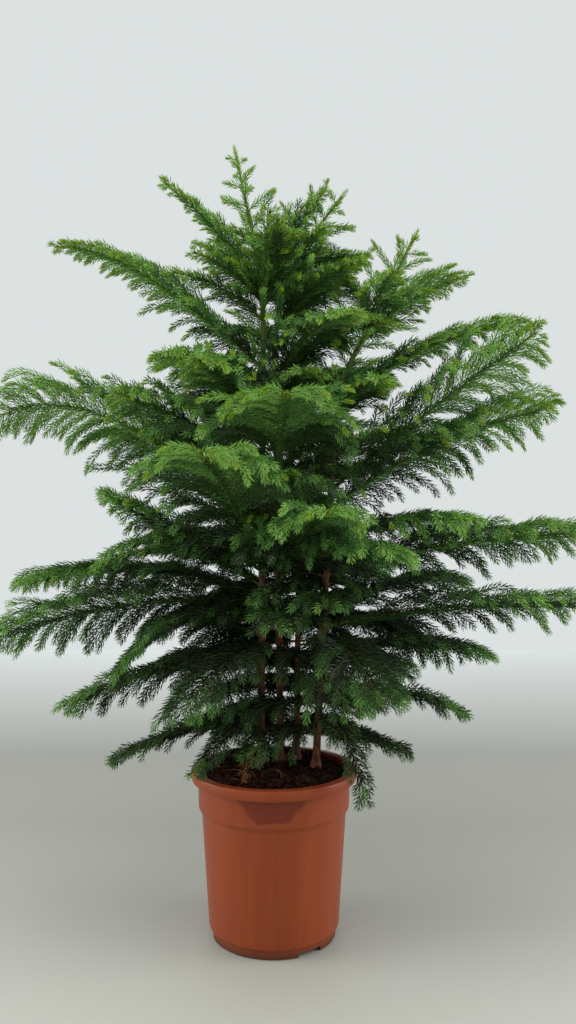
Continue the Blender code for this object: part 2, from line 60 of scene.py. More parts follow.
print("frame loaded:", len(nodeNames), "nodes")


def toLinear(hexColour):
    parts = [int(hexColour[i:i + 2], 16) / 255 for i in (1, 3, 5)]
    return (*[p / 12.92 if p <= 0.04045 else ((p + 0.055) / 1.055) ** 2.4 for p in parts], 1)


def addNode(tree, kind, settings=None, links=None):
    node = tree.nodes.new(kind)
    for name, value in (settings or {}).items():
        if name == "stops":  # the colours of a ramp, each with its place from 0 to 1
            for i, (place, colour) in enumerate(value):
                stop = node.color_ramp.elements[i] if i < 2 else node.color_ramp.elements.new(place)
                stop.position = place
                stop.color = toLinear(colour)
        elif isinstance(name, int) or name in node.inputs:
            node.inputs[name].default_value = value
        else:
            setattr(node, name, value)
    for name, source in (links or {}).items():
        tree.links.new(source, node.inputs[name])
    return node


def newMaterial(name, settings):
    material = bpy.data.materials.new(name)
    material.use_nodes = True
    shader = material.node_tree.nodes["Principled BSDF"]
    for socket, value in settings.items():
        shader.inputs[socket].default_value = value
    return material, material.node_tree, shader


# Materials

potPlastic = {
    # Moulded polypropylene, dyed through: an even terracotta with a soft sheen, faint upright flow
    # streaks, fine dust, a painted dark reflection under the rim, and dried mud round the foot.
    "colour": "#8a3b18",
    "pale": "#8f3f1b",
    "deep": "#863817",
    "darkReflection": "#6f2610",
    "mud": "#4a2f1e",
    "dust": "#b98a70",
    "streakWidth": 0.014,
    "reflectionMiddle": -0.001,
    "reflectionHalfWidth": 0.051,
    "reflectionTop": 0.2195,
    "reflectionFoot": 0.188,
    "mudHeight": 0.013,
    "roughness": 0.40,
}


def makePotPlastic():
    look = potPlastic
    material, tree, shader = newMaterial("mouldedPolypropylene", {"IOR": 1.49, "Specular IOR Level": 0.3})
    place = addNode(tree, "ShaderNodeTexCoord")
    upright = addNode(tree, "ShaderNodeMapping", {"Scale": (1, 1, 0.06)}, {"Vector": place.outputs["Object"]})
    streaks = addNode(
        tree, "ShaderNodeTexNoise", {"Scale": 1 / look["streakWidth"], "Detail": 3, "Roughness": 0.55},
        {"Vector": upright.outputs[0]})
    body = addNode(
        tree, "ShaderNodeValToRGB",
        {"stops": [(0.32, look["deep"]), (0.52, look["colour"]), (0.72, look["pale"])]},
        {"Fac": streaks.outputs["Fac"]})
    height = addNode(tree, "ShaderNodeSeparateXYZ", links={"Vector": place.outputs["Object"]})
    smear = addNode(
        tree, "ShaderNodeTexNoise", {"Scale": 90, "Detail": 6, "Roughness": 0.7},
        {"Vector": place.outputs["Object"]})
    # Mud clings to the foot, its upper edge broken by the smears.
    ragged = addNode(
        tree, "ShaderNodeMath", {"operation": "MULTIPLY_ADD", 1: 0.016, 2: -0.008},
        {0: smear.outputs["Fac"]})
    edge = addNode(
        tree, "ShaderNodeMath", {"operation": "ADD"},
        {0: height.outputs["Z"], 1: ragged.outputs[0]})
    mud = addNode(
        tree, "ShaderNodeMapRange",
        {"From Min": look["mudHeight"], "From Max": look["mudHeight"] * 0.2, "To Min": 0, "To Max": 0.8},
        {"Value": edge.outputs[0]})
    # The painted dark reflection narrows downwards from just under the rim, on the front only.
    aside = addNode(
        tree, "ShaderNodeMath", {"operation": "ADD", 1: -look["reflectionMiddle"]}, {0: height.outputs["X"]})
    aside = addNode(tree, "ShaderNodeMath", {"operation": "ABSOLUTE"}, {0: aside.outputs[0]})
    below = addNode(
        tree, "ShaderNodeMapRange",
        {"From Min": look["reflectionTop"], "From Max": look["reflectionFoot"], "To Min": 0, "To Max": 0.58},
        {"Value": edge.outputs[0]})
    width = addNode(
        tree, "ShaderNodeMath", {"operation": "MULTIPLY_ADD", 1: 1 / look["reflectionHalfWidth"]},
        {0: aside.outputs[0], 2: below.outputs[0]})
    inside = addNode(
        tree, "ShaderNodeMapRange", {"From Min": 1.05, "From Max": 0.90}, {"Value": width.outputs[0]})
    above = addNode(
        tree, "ShaderNodeMapRange", {"From Min": look["reflectionFoot"], "From Max": look["reflectionFoot"] + 0.002},
        {"Value": edge.outputs[0]})
    front = addNode(tree, "ShaderNodeMath", {"operation": "LESS_THAN", 1: 0.0}, {0: height.outputs["Y"]})
    under = addNode(
        tree, "ShaderNodeMath", {"operation": "LESS_THAN", 1: look["reflectionTop"]}, {0: height.outputs["Z"]})
    patch = inside
    for limit in (above, under, front):
        patch = addNode(
            tree, "ShaderNodeMath", {"operation": "MULTIPLY"}, {0: patch.outputs[0], 1: limit.outputs[0]})
    # the painted dark reflection, laid over the plastic's colour
    darkReflection = addNode(
        tree, "ShaderNodeMix", {"data_type": "RGBA"},
        {"Factor": patch.outputs[0], 6: body.outputs["Color"]})
    darkReflection.inputs[7].default_value = toLinear(look["darkReflection"])
    muddy = addNode(
        tree, "ShaderNodeMix", {"data_type": "RGBA"},
        {"Factor": mud.outputs[0], 6: darkReflection.outputs[2]})
    muddy.inputs[7].default_value = toLinear(look["mud"])
    specks = addNode(
        tree, "ShaderNodeTexNoise", {"Scale": 420, "Detail": 2},
        {"Vector": place.outputs["Object"]})
    dusty = addNode(
        tree, "ShaderNodeMapRange", {"From Min": 0.70, "From Max": 0.77, "To Min": 0, "To Max": 0.32},
        {"Value": specks.outputs["Fac"]})
    final = addNode(
        tree, "ShaderNodeMix", {"data_type": "RGBA"},
        {"Factor": dusty.outputs[0], 6: muddy.outputs[2]})
    final.inputs[7].default_value = toLinear(look["dust"])
    tree.links.new(final.outputs[2], shader.inputs["Base Color"])
    matt = addNode(
        tree, "ShaderNodeMath", {"operation": "MULTIPLY_ADD", 1: 0.45, 2: look["roughness"] - 0.05},
        {0: mud.outputs[0]})
    rough = addNode(
        tree, "ShaderNodeMath", {"operation": "MULTIPLY_ADD", 1: 0.10},
        {0: smear.outputs["Fac"], 2: matt.outputs[0]})
    tree.links.new(rough.outputs[0], shader.inputs["Roughness"])
    bump = addNode(
        tree, "ShaderNodeBump", {"Strength": 0.06, "Distance": 0.0006},
        {"Height": streaks.outputs["Fac"]})
    tree.links.new(bump.outputs[0], shader.inputs["Normal"])
    return material


barkSkin = {
    # Young conifer bark, rough and flaking: orange-brown plates with dark cracks between them, turning
    # olive and then green towards the top, where the skin is still alive.
    "low": "#6b3d24",
    "crack": "#33201a",
    "plate": "#8c5a36",
    "olive": "#5c5a2c",
    "green": "#5f7a34",
    "plateSize": 0.0045,
    "oliveFrom": 0.45,
    "oliveTo": 0.80,
}


def makeBark(name, look, ageing=True):
    material, tree, shader = newMaterial(name, {"Roughness": 0.85, "IOR": 1.45})
    place = addNode(tree, "ShaderNodeTexCoord")
    drawn = addNode(tree, "ShaderNodeMapping", {"Scale": (1, 1, 0.45)}, {"Vector": place.outputs["Object"]})
    plates = addNode(
        tree, "ShaderNodeTexNoise", {"Scale": 1 / look["plateSize"], "Detail": 5, "Roughness": 0.65},
        {"Vector": drawn.outputs[0]})
    brown = addNode(
        tree, "ShaderNodeValToRGB",
        {"stops": [(0.34, look["crack"]), (0.50, look["low"]), (0.68, look["plate"])]},
        {"Fac": plates.outputs["Fac"]})
    source = brown.outputs["Color"]
    if ageing:
        height = addNode(tree, "ShaderNodeSeparateXYZ", links={"Vector": place.outputs["Object"]})
        young = addNode(
            tree, "ShaderNodeMapRange", {"From Min": look["oliveFrom"], "From Max": look["oliveTo"]},
            {"Value": height.outputs["Z"]})
        live = addNode(
            tree, "ShaderNodeValToRGB", {"stops": [(0.35, look["olive"]), (0.65, look["green"])]},
            {"Fac": plates.outputs["Fac"]})
        mixed = addNode(
            tree, "ShaderNodeMix", {"data_type": "RGBA"},
            {"Factor": young.outputs[0], 6: source, 7: live.outputs["Color"]})
        source = mixed.outputs[2]
    tree.links.new(source, shader.inputs["Base Color"])
    bump = addNode(
        tree, "ShaderNodeBump", {"Strength": 0.6, "Distance": 0.0008},
        {"Height": plates.outputs["Fac"]})
    tree.links.new(bump.outputs[0], shader.inputs["Normal"])
    return material


boughSkin = {
    # The skin of a frond's own stalk: smooth and olive, with paler flecks.
    "low": "#5c5e2e",
    "crack": "#403f22",
    "plate": "#74753c",
    "plateSize": 0.004,
}

peatLook = {
    # Moist peat with composted bark: almost black, matt, and grained by fibres of a few millimetres.
    "dark": "#0a0503",
    "mid": "#160a06",
    "light": "#301709",
    "grain": 0.004,
}

chipLook = {
    # Chips of pine bark, wet: red-brown with dark sides.
    "dark": "#180b07",
    "mid": "#321a11",
    "light": "#562a18",
    "grain": 0.009,
}


def makeEarth(name, look):
    material, tree, shader = newMaterial(name, {"Roughness": 0.9, "Specular IOR Level": 0.15})
    place = addNode(tree, "ShaderNodeTexCoord")
    grain = addNode(
        tree, "ShaderNodeTexNoise", {"Scale": 1 / look["grain"], "Detail": 5, "Roughness": 0.7},
        {"Vector": place.outputs["Object"]})
    colour = addNode(
        tree, "ShaderNodeValToRGB",
        {"stops": [(0.36, look["dark"]), (0.52, look["mid"]), (0.70, look["light"])]},
        {"Fac": grain.outputs["Fac"]})
    tree.links.new(colour.outputs["Color"], shader.inputs["Base Color"])
    bump = addNode(
        tree, "ShaderNodeBump", {"Strength": 0.8, "Distance": 0.001},
        {"Height": grain.outputs["Fac"]})
    tree.links.new(bump.outputs[0], shader.inputs["Normal"])
    return material


plainFinishes = {
    # Waxy living needles, each age and shade one even colour: (sRGB, roughness). The skin has a dull wax
    # sheen.
    # the inner and older shades are darker partly as painted shade, and the grown and fresher ones lighter
    # partly as painted light
    "inner": ("#18290f", 0.55),
    "old": ("#305321", 0.52),
    "grown": ("#568639", 0.50),
    "fresh": ("#82b04f", 0.50),
    "tip": ("#8bae34", 0.48),
    "dead": ("#8a5a2e", 0.80),
    # Live twigs under the needles, and dry fibres of straw and root.
    "twig": ("#55642c", 0.60),
    "straw": ("#74502e", 0.80),
}

materials = {
    name: newMaterial(name + "Needles" if name not in ("twig", "straw") else name,
                      {"Base Color": toLinear(colour), "Roughness": roughness, "Specular IOR Level": 0.3})[0]
    for name, (colour, roughness) in plainFinishes.items()
}
materials["pot"] = makePotPlastic()
materials["bark"] = makeBark("youngPineBark", barkSkin)
materials["bough"] = makeBark("oliveStalk", boughSkin, ageing=False)
materials["peat"] = makeEarth("moistPeat", peatLook)
materials["chips"] = makeEarth("barkChips", chipLook)
print("materials made:", len(materials))


# Meshes and pieces

def newObject(name, mesh, material=None):
    obj = bpy.data.objects.new(name, mesh)
    bpy.context.scene.collection.objects.link(obj)
    if material:
        mesh.materials.clear()
        mesh.materials.append(material)
    return obj


def meshOf(shape, name):
    mesh = bpy.data.meshes.new(name)
    shape.to_mesh(mesh)
    shape.free()
    return mesh


def handOver(piece, nodes):
    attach(piece, "root")
    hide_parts(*nodes)


def settled(obj, name):
    # The result of an object's modifiers as a plain mesh, in an object of its own.
    bpy.context.view_layer.update()
    graph = bpy.context.evaluated_depsgraph_get()
    mesh = bpy.data.meshes.new_from_object(obj.evaluated_get(graph))
    mesh.name = name
    source = obj.data
    bpy.data.objects.remove(obj)
    bpy.data.meshes.remove(source)
    piece = bpy.data.objects.new(name, mesh)
    bpy.context.scene.collection.objects.link(piece)
    return piece


def runTree(obj, tree, values):
    modifier = obj.modifiers.new(tree.name, "NODES")
    modifier.node_group = tree
    for item in tree.interface.items_tree:
        if item.in_out == "INPUT" and item.name in values:
            modifier[item.identifier] = values[item.name]


def newTree(name, sockets):
    tree = bpy.data.node_groups.new(name, "GeometryNodeTree")
    for socket, kind in (("Geometry", "Geometry"), *sockets):
        tree.interface.new_socket(name=socket, in_out="INPUT", socket_type="NodeSocket" + kind)
    tree.interface.new_socket(name="Geometry", in_out="OUTPUT", socket_type="NodeSocketGeometry")
    return tree, addNode(tree, "NodeGroupInput")


def endTree(tree, geometry, inputs):
    whole = addNode(tree, "GeometryNodeRealizeInstances", links={"Geometry": geometry})
    dressed = addNode(
        tree, "GeometryNodeSetMaterial",
        links={"Geometry": whole.outputs[0], "Material": inputs.outputs["Material"]})
    addNode(tree, "NodeGroupOutput", links={"Geometry": dressed.outputs[0]})


def makeStrandTree():
    # Tubes along strands, as thick as the strands' own attribute says.
    tree, inputs = newTree("tubesOnStrands", (("Sides", "Int"), ("Material", "Material")))
    strands = addNode(tree, "GeometryNodeMeshToCurve", links={"Mesh": inputs.outputs["Geometry"]})
    thickness = addNode(tree, "GeometryNodeInputNamedAttribute", {"data_type": "FLOAT", "Name": "thickness"})
    ring = addNode(
        tree, "GeometryNodeCurvePrimitiveCircle", {"Radius": 1.0},
        {"Resolution": inputs.outputs["Sides"]})
    tubes = addNode(
        tree, "GeometryNodeCurveToMesh", {"Fill Caps": True},
        {"Curve": strands.outputs[0], "Profile Curve": ring.outputs[0], "Scale": thickness.outputs[0]})
    endTree(tree, tubes.outputs[0], inputs)
    return tree


def makeNeedleTree():
    # Needles all round each strand, every one a golden angle on from the one before it.
    tree, inputs = newTree("needlesOnStrands", (
        ("Needle", "Object"), ("Spacing", "Float"), ("Least Size", "Float"), ("Most Size", "Float"),
        ("Lean Spread", "Float"), ("Seed", "Int"), ("Material", "Material")))
    strands = addNode(tree, "GeometryNodeMeshToCurve", links={"Mesh": inputs.outputs["Geometry"]})
    points = addNode(
        tree, "GeometryNodeCurveToPoints", {"mode": "LENGTH"},
        {"Curve": strands.outputs[0], "Length": inputs.outputs["Spacing"]})
    needle = addNode(tree, "GeometryNodeObjectInfo", links={"Object": inputs.outputs["Needle"]})
    index = addNode(tree, "GeometryNodeInputIndex")
    waver = addNode(
        tree, "FunctionNodeRandomValue", {"data_type": "FLOAT", 2: -0.4, 3: 0.4},
        {"Seed": inputs.outputs["Seed"]})
    spin = addNode(
        tree, "ShaderNodeMath", {"operation": "MULTIPLY_ADD", 1: radians(goldenAngle)},
        {0: index.outputs[0], 2: waver.outputs[1]})
    around = addNode(
        tree, "FunctionNodeAxisAngleToRotation", {"Axis": (0, 0, 1)}, {"Angle": spin.outputs[0]})
    turned = addNode(
        tree, "FunctionNodeRotateRotation", {"rotation_space": "LOCAL"},
        {"Rotation": points.outputs["Rotation"], "Rotate By": around.outputs[0]})
    least = addNode(
        tree, "ShaderNodeMath", {"operation": "MULTIPLY", 1: -1}, {0: inputs.outputs["Lean Spread"]})
    lean = addNode(
        tree, "FunctionNodeRandomValue", {"data_type": "FLOAT", "ID": 1},
        {2: least.outputs[0], 3: inputs.outputs["Lean Spread"], "Seed": inputs.outputs["Seed"]})
    tilt = addNode(
        tree, "FunctionNodeAxisAngleToRotation", {"Axis": (0, 1, 0)}, {"Angle": lean.outputs[1]})
    leaning = addNode(
        tree, "FunctionNodeRotateRotation", {"rotation_space": "LOCAL"},
        {"Rotation": turned.outputs[0], "Rotate By": tilt.outputs[0]})
    draw = addNode(
        tree, "FunctionNodeRandomValue", {"data_type": "FLOAT"},
        {2: inputs.outputs["Least Size"], 3: inputs.outputs["Most Size"], "Seed": inputs.outputs["Seed"]})
    size = addNode(tree, "GeometryNodeInputNamedAttribute", {"data_type": "FLOAT", "Name": "size"})
    scale = addNode(
        tree, "ShaderNodeMath", {"operation": "MULTIPLY"},
        {0: draw.outputs[1], 1: size.outputs[0]})
    placed = addNode(
        tree, "GeometryNodeInstanceOnPoints",
        links={"Points": points.outputs["Points"], "Instance": needle.outputs["Geometry"],
               "Rotation": leaning.outputs[0], "Scale": scale.outputs[0]})
    endTree(tree, placed.outputs[0], inputs)
    return tree


def makeScatterTree():
    # Chips strewn over a surface, each turned its own way.
    tree, inputs = newTree("chipsOnSurface", (
        ("Chip", "Object"), ("Density", "Float"), ("Least Size", "Float"), ("Most Size", "Float"),
        ("Seed", "Int"), ("Material", "Material")))
    points = addNode(
        tree, "GeometryNodeDistributePointsOnFaces",
        links={"Mesh": inputs.outputs["Geometry"], "Density": inputs.outputs["Density"],
               "Seed": inputs.outputs["Seed"]})
    chip = addNode(tree, "GeometryNodeObjectInfo", links={"Object": inputs.outputs["Chip"]})
    turn = addNode(
        tree, "FunctionNodeRandomValue",
        {"data_type": "FLOAT_VECTOR", 0: (-0.5, -0.5, 0), 1: (0.5, 0.5, tau)},
        {"Seed": inputs.outputs["Seed"]})
    size = addNode(
        tree, "FunctionNodeRandomValue", {"data_type": "FLOAT"},
        {2: inputs.outputs["Least Size"], 3: inputs.outputs["Most Size"], "Seed": inputs.outputs["Seed"]})
    placed = addNode(
        tree, "GeometryNodeInstanceOnPoints",
        links={"Points": points.outputs["Points"], "Instance": chip.outputs["Geometry"],
               "Rotation": turn.outputs[0], "Scale": size.outputs[1]})
    endTree(tree, placed.outputs[0], inputs)
    return tree


strandTree = makeStrandTree()
needleTree = makeNeedleTree()
scatterTree = makeScatterTree()


# Pot

pot = {
    "height": 0.235,
    "rimRadius": 0.119,
    "rimBand": 0.015,
    "rimSlope": 0.0022,  # how much narrower the rim's foot is than its top
    "rimFoot": 0.0045,  # how far inside the rim its foot ends, in a hollow
    "rimUndercut": 0.0030,  # height of that hollow
    "neckRadius": 0.1085,
    "wall": 0.0022,
    "stepDrop": 0.055,
    "stepRadius": 0.103,
    "baseRadius": 0.0925,
    "footRadius": 0.088,
    "footHeight": 0.011,
    "footWidth": 0.011,
    "floor": 0.0115,
    "recess": 0.009,
    "padRadius": 0.022,
    "notches": 3,
    "firstNotch": -55,
    "notchWidth": 0.036,
    "notchHeight": 0.0065,
    "turnSteps": 144,
}


def softened(corners):
    # An outline of (radius, height, rounding) with each corner made an arc.
    outline = []
    for i, (r, z, rounding) in enumerate(corners):
        here = Vector((r, z))
        if not rounding or i in (0, len(corners) - 1):
            outline.append(here)
            continue
        before = (Vector(corners[i - 1][:2]) - here).normalized()
        after = (Vector(corners[i + 1][:2]) - here).normalized()
        for step in range(5):
            t = step / 4
            outline.append(here + rounding * (before * (1 - t) ** 2 + after * t ** 2))
    return outline


def turnedMesh(name, outline, steps):
    shape = bmesh.new()
    rings = []
    for r, z in outline:
        if r < 1e-6:
            rings.append([shape.verts.new((0, 0, z))])
        else:
            rings.append([shape.verts.new((r * cos(tau * i / steps), r * sin(tau * i / steps), z))
                          for i in range(steps)])
    for low, high in zip(rings, rings[1:]):
        for i in range(steps):
            j = (i + 1) % steps
            corners = [low[i % len(low)], low[j % len(low)], high[j % len(high)], high[i % len(high)]]
            shape.faces.new(list(dict.fromkeys(corners)))
    bmesh.ops.recalc_face_normals(shape, faces=shape.faces)
    return meshOf(shape, name)


def makePot():
    top = pot["height"]
    stepTop = top - pot["stepDrop"]
    inner = pot["neckRadius"] - pot["wall"]
    footInner = pot["footRadius"] - pot["footWidth"]
    rim = pot["rimRadius"]
    rimFoot = top - pot["rimBand"]
    outline = softened([
        (0, pot["floor"], 0),
        (pot["baseRadius"] - 2 * pot["wall"], pot["floor"], 0.003),
        (pot["stepRadius"] - pot["wall"], stepTop - 0.004, 0.001),
        (inner, stepTop, 0.001),
        (inner, top, 0.002),
        (rim - 0.0006, top, 0.0026),
        (rim, top - pot["rimBand"] * 0.55, 0.002),
        (rim - pot["rimSlope"], rimFoot, 0.0012),
        (rim - pot["rimFoot"], rimFoot, 0.0008),
        (rim - pot["rimFoot"] - 0.0005, rimFoot + pot["rimUndercut"], 0.0008),
        (pot["neckRadius"], rimFoot + pot["rimUndercut"] / 2, 0.0012),
        (pot["neckRadius"] - 0.001, stepTop + 0.0015, 0.0025),
        (pot["stepRadius"], stepTop - 0.0045, 0.0025),
        (pot["baseRadius"], pot["footHeight"] + 0.004, 0.0015),
        (pot["footRadius"] + 0.0005, pot["footHeight"], 0.0012),
        (pot["footRadius"], 0, 0.0012),
        (footInner, 0, 0.0012),
        (footInner, pot["recess"], 0.001),
        (pot["padRadius"], pot["recess"], 0.001),
        (pot["padRadius"], 0, 0.001),
        (0, 0, 0),
    ])
    body = newObject("growing_pot", turnedMesh("growing_pot", outline, pot["turnSteps"]), materials["pot"])
    cutters = []
    for i in range(pot["notches"]):
        angle = radians(pot["firstNotch"]) + tau * i / pot["notches"]
        middle = pot["footRadius"] - pot["footWidth"] / 2
        box = bmesh.new()
        place = Matrix.Rotation(angle, 4, "Z") @ Matrix.Translation((middle, 0, 0))
        bmesh.ops.create_cube(box, size=1, matrix=place @ Matrix.Diagonal(
            (2 * pot["footWidth"], pot["notchWidth"], 2 * pot["notchHeight"], 1)))
        cutter = newObject("notchCutter", meshOf(box, "notchCutter"))
        cutters.append(cutter)
        cut = body.modifiers.new("notch", "BOOLEAN")
        cut.object = cutter
        cut.solver = "EXACT"
    piece = settled(body, "growing_pot")
    for cutter in cutters:
        bpy.data.objects.remove(cutter)
    piece.data.shade_smooth()
    piece.data.set_sharp_from_angle(angle=radians(38))
    handOver(piece, ["pot"])


makePot()
print("pot made")


# Soil

soil = {
    "level": 0.232,
    "levelRadius": 0.076,
    "edge": 0.222,
    "radius": 0.1050,
    "depth": 0.012,
    "heapAzimuth": 125,  # the soil is heaped up to the brim on this side
    "heap": 0.016,
    "lumps": 0.0030,
    "lumpSize": 1 / 60,  # the size of the largest ones
    "rings": 44,
    "steps": 132,
    "chipDensity": 26000,
    "crumbDensity": 45000,
}


def soilHeight(x, y):
    r = sqrt(x * x + y * y)
    fall = max(0, (r - soil["levelRadius"]) / (soil["radius"] - soil["levelRadius"]))
    base = soil["level"] + (soil["edge"] - soil["level"]) * fall ** 1.3
    heaped = max(0, 0.35 + 0.65 * cos(atan2(y, x) - radians(soil["heapAzimuth"])))
    base += soil["heap"] * heaped * min(1, r / soil["radius"]) ** 3
    lumps = noise.fractal(Vector((x, y, 0)) / soil["lumpSize"], 1.0, 2.1, 4)
    return base - soil["lumps"] * 0.6 + soil["lumps"] * lumps


def soilTop(name):
    shape = bmesh.new()
    rings = [[shape.verts.new((0, 0, soilHeight(0, 0)))]]
    for k in range(1, soil["rings"] + 1):
        r = soil["radius"] * k / soil["rings"]
        ring = []
        for i in range(soil["steps"]):
            x, y = r * cos(tau * i / soil["steps"]), r * sin(tau * i / soil["steps"])
            ring.append(shape.verts.new((x, y, soilHeight(x, y))))
        rings.append(ring)
    for low, high in zip(rings, rings[1:]):
        for i in range(soil["steps"]):
            j = (i + 1) % soil["steps"]
            corners = [low[i % len(low)], high[i], high[j], low[j % len(low)]]
            shape.faces.new(list(dict.fromkeys(corners)))
    return shape, rings[-1]


def makeChip(name, length, width, thickness, seed):
    # A splinter of bark: a box with its corners drawn about, and its width and thickness drawn at random for
    # each corner.
    draw = random.Random(seed)
    shape = bmesh.new()
    bmesh.ops.create_cube(shape, size=1)
    bmesh.ops.subdivide_edges(shape, edges=[e for e in shape.edges if abs(
        (e.verts[0].co - e.verts[1].co).x) > 0.5], cuts=1)
    for vertex in shape.verts:
        vertex.co.x *= length
        vertex.co.y *= width * draw.uniform(0.55, 1.1)
        vertex.co.z *= thickness * draw.uniform(0.6, 1.2)
        vertex.co += Vector([draw.uniform(-0.12, 0.12) * side for side in (length, width, thickness)])
    return newObject(name, meshOf(shape, name))


def makeSoil():
    shape, edge = soilTop("peat")
    floor = soil["edge"] - soil["depth"]
    under = [shape.verts.new((v.co.x, v.co.y, floor)) for v in edge]
    for i in range(len(edge)):
        j = (i + 1) % len(edge)
        shape.faces.new((edge[i], under[i], under[j], edge[j]))
    shape.faces.new(list(reversed(under)))
    bmesh.ops.recalc_face_normals(shape, faces=shape.faces)
    ground = newObject("peat", meshOf(shape, "peat"), materials["peat"])
    ground.data.shade_smooth()
    handOver(ground, ["soil"])
    for name, sizes, density, least, most, material in (
            ("bark_chips", (0.013, 0.0065, 0.0022), soil["chipDensity"], 0.45, 1.25, "chips"),
            ("crumbs", (0.0038, 0.0030, 0.0022), soil["crumbDensity"], 0.5, 1.3, "peat")):
        chip = makeChip("chip", *sizes, seed=11)
        host = newObject(name, meshOf(soilTop(name)[0], name))
        runTree(host, scatterTree, {
            "Chip": chip, "Density": density, "Least Size": least, "Most Size": most,
            "Seed": 5, "Material": materials[material]})
        piece = settled(host, name)
        bpy.data.objects.remove(chip)
        handOver(piece, ["soil"])
        print(name, len(piece.data.polygons), "faces")


makeSoil()


# Limbs: the paths that everything else grows on

growth = {
    "pathSteps": 24,
    "stemStart": 0.2323,
    "flare": 0.0035,
    "flareHeight": 0.022,
    "seed": 7,
}

stems = {
    # foot, length, radius at the foot and the tip, lean low down and at the top, where the bend starts
    # and how long it is, the azimuth it leans to, and the length of the leader above it
    "left": dict(foot=(-0.0195, 0.030), length=0.780, radius=0.0056, tipRadius=0.0030, lowLean=-0.3,
                 topLean=12, bendStart=0.60, bendSpan=0.20, toward=180, leader=0.120),
    "middle": dict(foot=(0.0095, 0.040), length=0.765, radius=0.0052, tipRadius=0.0028, lowLean=-0.9,
                   topLean=38, bendStart=0.56, bendSpan=0.28, toward=0, leader=0.100),
    "right": dict(foot=(0.0600, 0.010), length=0.715, radius=0.0056, tipRadius=0.0030, lowLean=3.2,
                  topLean=27, bendStart=0.48, bendSpan=0.13, toward=0, leader=0.082),
    "back": dict(foot=(0.0330, 0.052), length=0.500, radius=0.0050, tipRadius=0.0028, lowLean=5.0,
                 topLean=20, bendStart=0.20, bendSpan=0.30, toward=84, leader=0.100),
}

